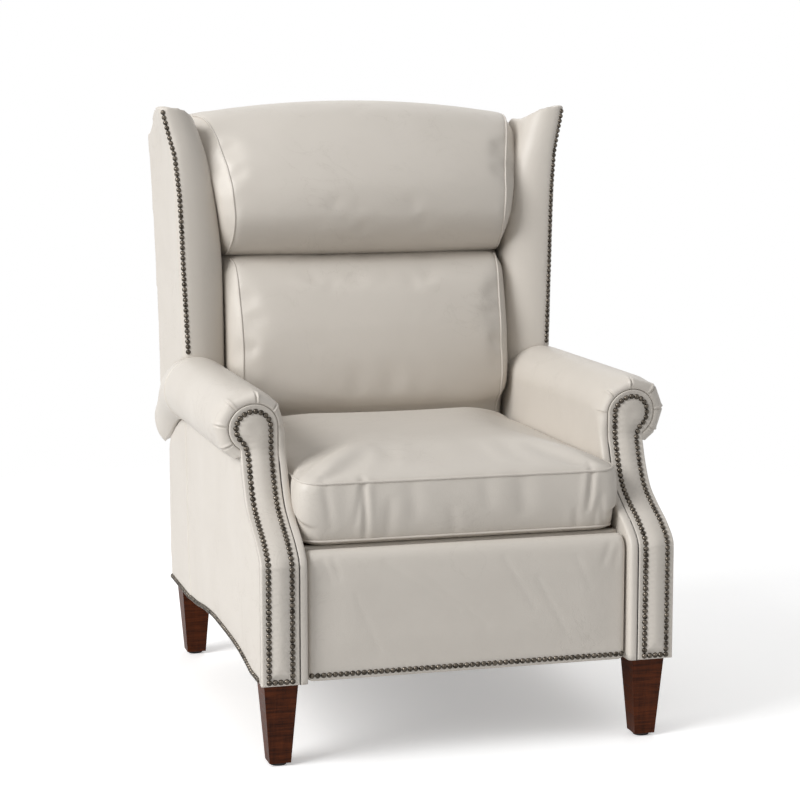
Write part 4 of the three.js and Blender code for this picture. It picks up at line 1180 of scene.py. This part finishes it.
def wing_ring(level):
    """One ring round a wing, at a share of its height: inner face, rolled nose, outer face."""
    near = arm_top + (wing_tip - arm_top) * level
    nail_x = nail_low_x + (nail_high_x - nail_low_x) * float(read_curve(wing_nail_shares, level))
    nose_y = wing_front + wing_rise * float(read_curve(wing_front_shares, level))
    depth = panel_face(near) - nose_y
    nose = wing_nose / depth
    root_x = root_low_x + (root_high_x - root_low_x) * level * level
    outer_x = nail_x + wing_land / 2 + wing_edge
    nose_x = nail_x - wing_land / 2
    inside = wing_inside(wing_foot + (wing_tip - wing_scoop - wing_foot) * level)
    rows = np.array([
        (inside, 1), (inside, 0.75), (inside, 0.5), (inside, nose * 1.2),
        *((nose_x + (inside - nose_x) * math.cos(bend), nose * (1 - math.sin(bend))) for bend in nose_bends),
        (outer_x, nose * 0.2), (outer_x + wing_turn, nose * 0.5),
        ((nail_x + root_x) / 2 + wing_land / 4, 0.5), (root_x, 1)])
    ring = []
    for x, share in smooth_path(rows, 110, rows * np.array([1, depth])):
        inward = min(1, max(0, (nail_x - wing_land - x) / (nail_x - wing_land - inside)))
        shoulder = shoulder_drop * (1 - math.sqrt(1 - shoulder_round * inward * inward))
        scoop = max(float(ease(scoop_start, scoop_end, share)), shoulder)
        low = over_roll(x, nose_y + depth * share)
        z = low + (wing_tip - wing_scoop * scoop - low) * level
        ring.append((x, nose_y + (panel_face(z) - nose_y) * share, z))
    return ring


wing_left = skin_rings("wing_cover_left", [wing_ring(level) for level in np.linspace(0, 1, 46)])
wings = finish_pair(rewoven(wing_left, wing_cell, 7), "wing", "back", fill=0.9)
wing_nail_path = (
    (0.399, 0.2375, 1.084), (0.397, 0.2375, 1.073), (0.380, 0.2255, 1.002), (0.373, 0.2205, 0.930),
    (0.370, 0.2185, 0.856), (0.368, 0.2165, 0.782), (0.365, 0.2135, 0.708), (0.362, 0.2115, 0.630))
nail_pair("wing_nails", wing_nail_path, wings, (0, 1, 0), "back")


# Outer back: a board under leather that covers the posts from behind, with a bowed top edge.
# Its leather is pulled tight and turned in all round, so only a soft crown shows.
outer_puff = 0.004
outer_cell = 0.005
outer_half, outer_low, outer_high = 0.37, 0.44, 1.07
outer_rims = (0.08, 0.08, 0.08)
outer_back = skin_from_node("outer_back", "outer_back_cover", outer_cell, 10)
back_points = get_points(outer_back)
x, y, z = back_points.T
on_rear = y > back_rear - back_lean * (back_top - z) - outer_puff
rise = panel_rise(back_points, outer_half, outer_low, outer_high, outer_rims)
y += np.where(on_rear, outer_puff * rise, 0)
set_points(outer_back, back_points)
finish_piece(outer_back, "back", "outer_back")


# Studio: a plain pale floor that fades out, a white surround, and four soft lamps.
# The main lamp stands high on the chair's right, and the rear one is hidden from reflections.
floor_radius = 3.2
fade_start, fade_end = 0.9, 2.6
floor_pale = (0.93, 0.93, 0.93, 1)
floor_glow = 0.36
floor_turns = np.linspace(0, 2 * math.pi, 96, endpoint=False)
floor_ring = [(floor_radius * math.cos(turn), floor_radius * math.sin(turn), 0) for turn in floor_turns]
floor = new_piece("studio_floor", floor_ring, [tuple(range(len(floor_ring)))])
floor_paint = bpy.data.materials.new("studio_floor")
floor_paint.use_nodes = True
floor_tree = floor_paint.node_tree
floor_place = floor_tree.nodes.new("ShaderNodeTexCoord").outputs["Object"]
floor_reach = add_node(floor_tree, "ShaderNodeVectorMath", {"operation": "LENGTH"}, {0: floor_place})
floor_rays = floor_tree.nodes.new("ShaderNodeLightPath").outputs
floor_shader = floor_tree.nodes["Principled BSDF"].inputs
floor_shader["Base Color"].default_value = floor_pale
floor_shader["Roughness"].default_value = 0.9
floor_shader["Specular IOR Level"].default_value = 0.1
floor_shader["Emission Color"].default_value = (1, 1, 1, 1)
floor_fade = step_node(floor_tree, floor_reach.outputs["Value"], fade_start, fade_end, 1, 0)
floor_tree.links.new(floor_fade, floor_shader["Alpha"])
glow = times(floor_tree, floor_rays["Is Camera Ray"], floor_glow)
floor_tree.links.new(glow, floor_shader["Emission Strength"])
floor.data.materials.append(floor_paint)

world = bpy.data.worlds.new("studio_surround")
scene.world = world
world.use_nodes = True
surround = world.node_tree
surround.nodes.clear()
surround_fill = 0.32
rays = surround.nodes.new("ShaderNodeLightPath").outputs
seen = math_node(surround, "MAXIMUM", rays["Is Camera Ray"], rays["Is Glossy Ray"])
seen = math_node(surround, "MAXIMUM", seen, rays["Is Transmission Ray"])
lit, white = (add_node(surround, "ShaderNodeBackground", None, {"Color": (1, 1, 1, 1), "Strength": strength})
              for strength in (surround_fill, 1))
backdrop = add_node(surround, "ShaderNodeMixShader", None, {0: seen, 1: lit.outputs[0], 2: white.outputs[0]})
add_node(surround, "ShaderNodeOutputWorld", None, {"Surface": backdrop.outputs[0]})

lamp_aim = Vector((0, 0, 0.6))
lamps = (("key_lamp", (-5.6, -2.16, 3.96), 3.8, 422, True), ("top_lamp", (-0.3, -0.9, 4.0), 2.4, 12, True),
         ("right_lamp", (3.8, -1.8, 1.8), 2.2, 6, True), ("rear_lamp", (1.2, 3.2, 2.6), 2.0, 50, False))
for lamp_name, lamp_place, lamp_size, lamp_power, lamp_shines in lamps:
    lamp_data = bpy.data.lights.new(lamp_name, "AREA")
    lamp_data.energy = lamp_power
    lamp_data.size = lamp_size
    lamp = bpy.data.objects.new(lamp_name, lamp_data)
    lamp.location = lamp_place
    lamp.visible_glossy = lamp_shines
    lamp.rotation_euler = (lamp_aim - Vector(lamp_place)).to_track_quat("-Z", "Y").to_euler()
    scene.collection.objects.link(lamp)

scene.view_settings.view_transform = "Standard"
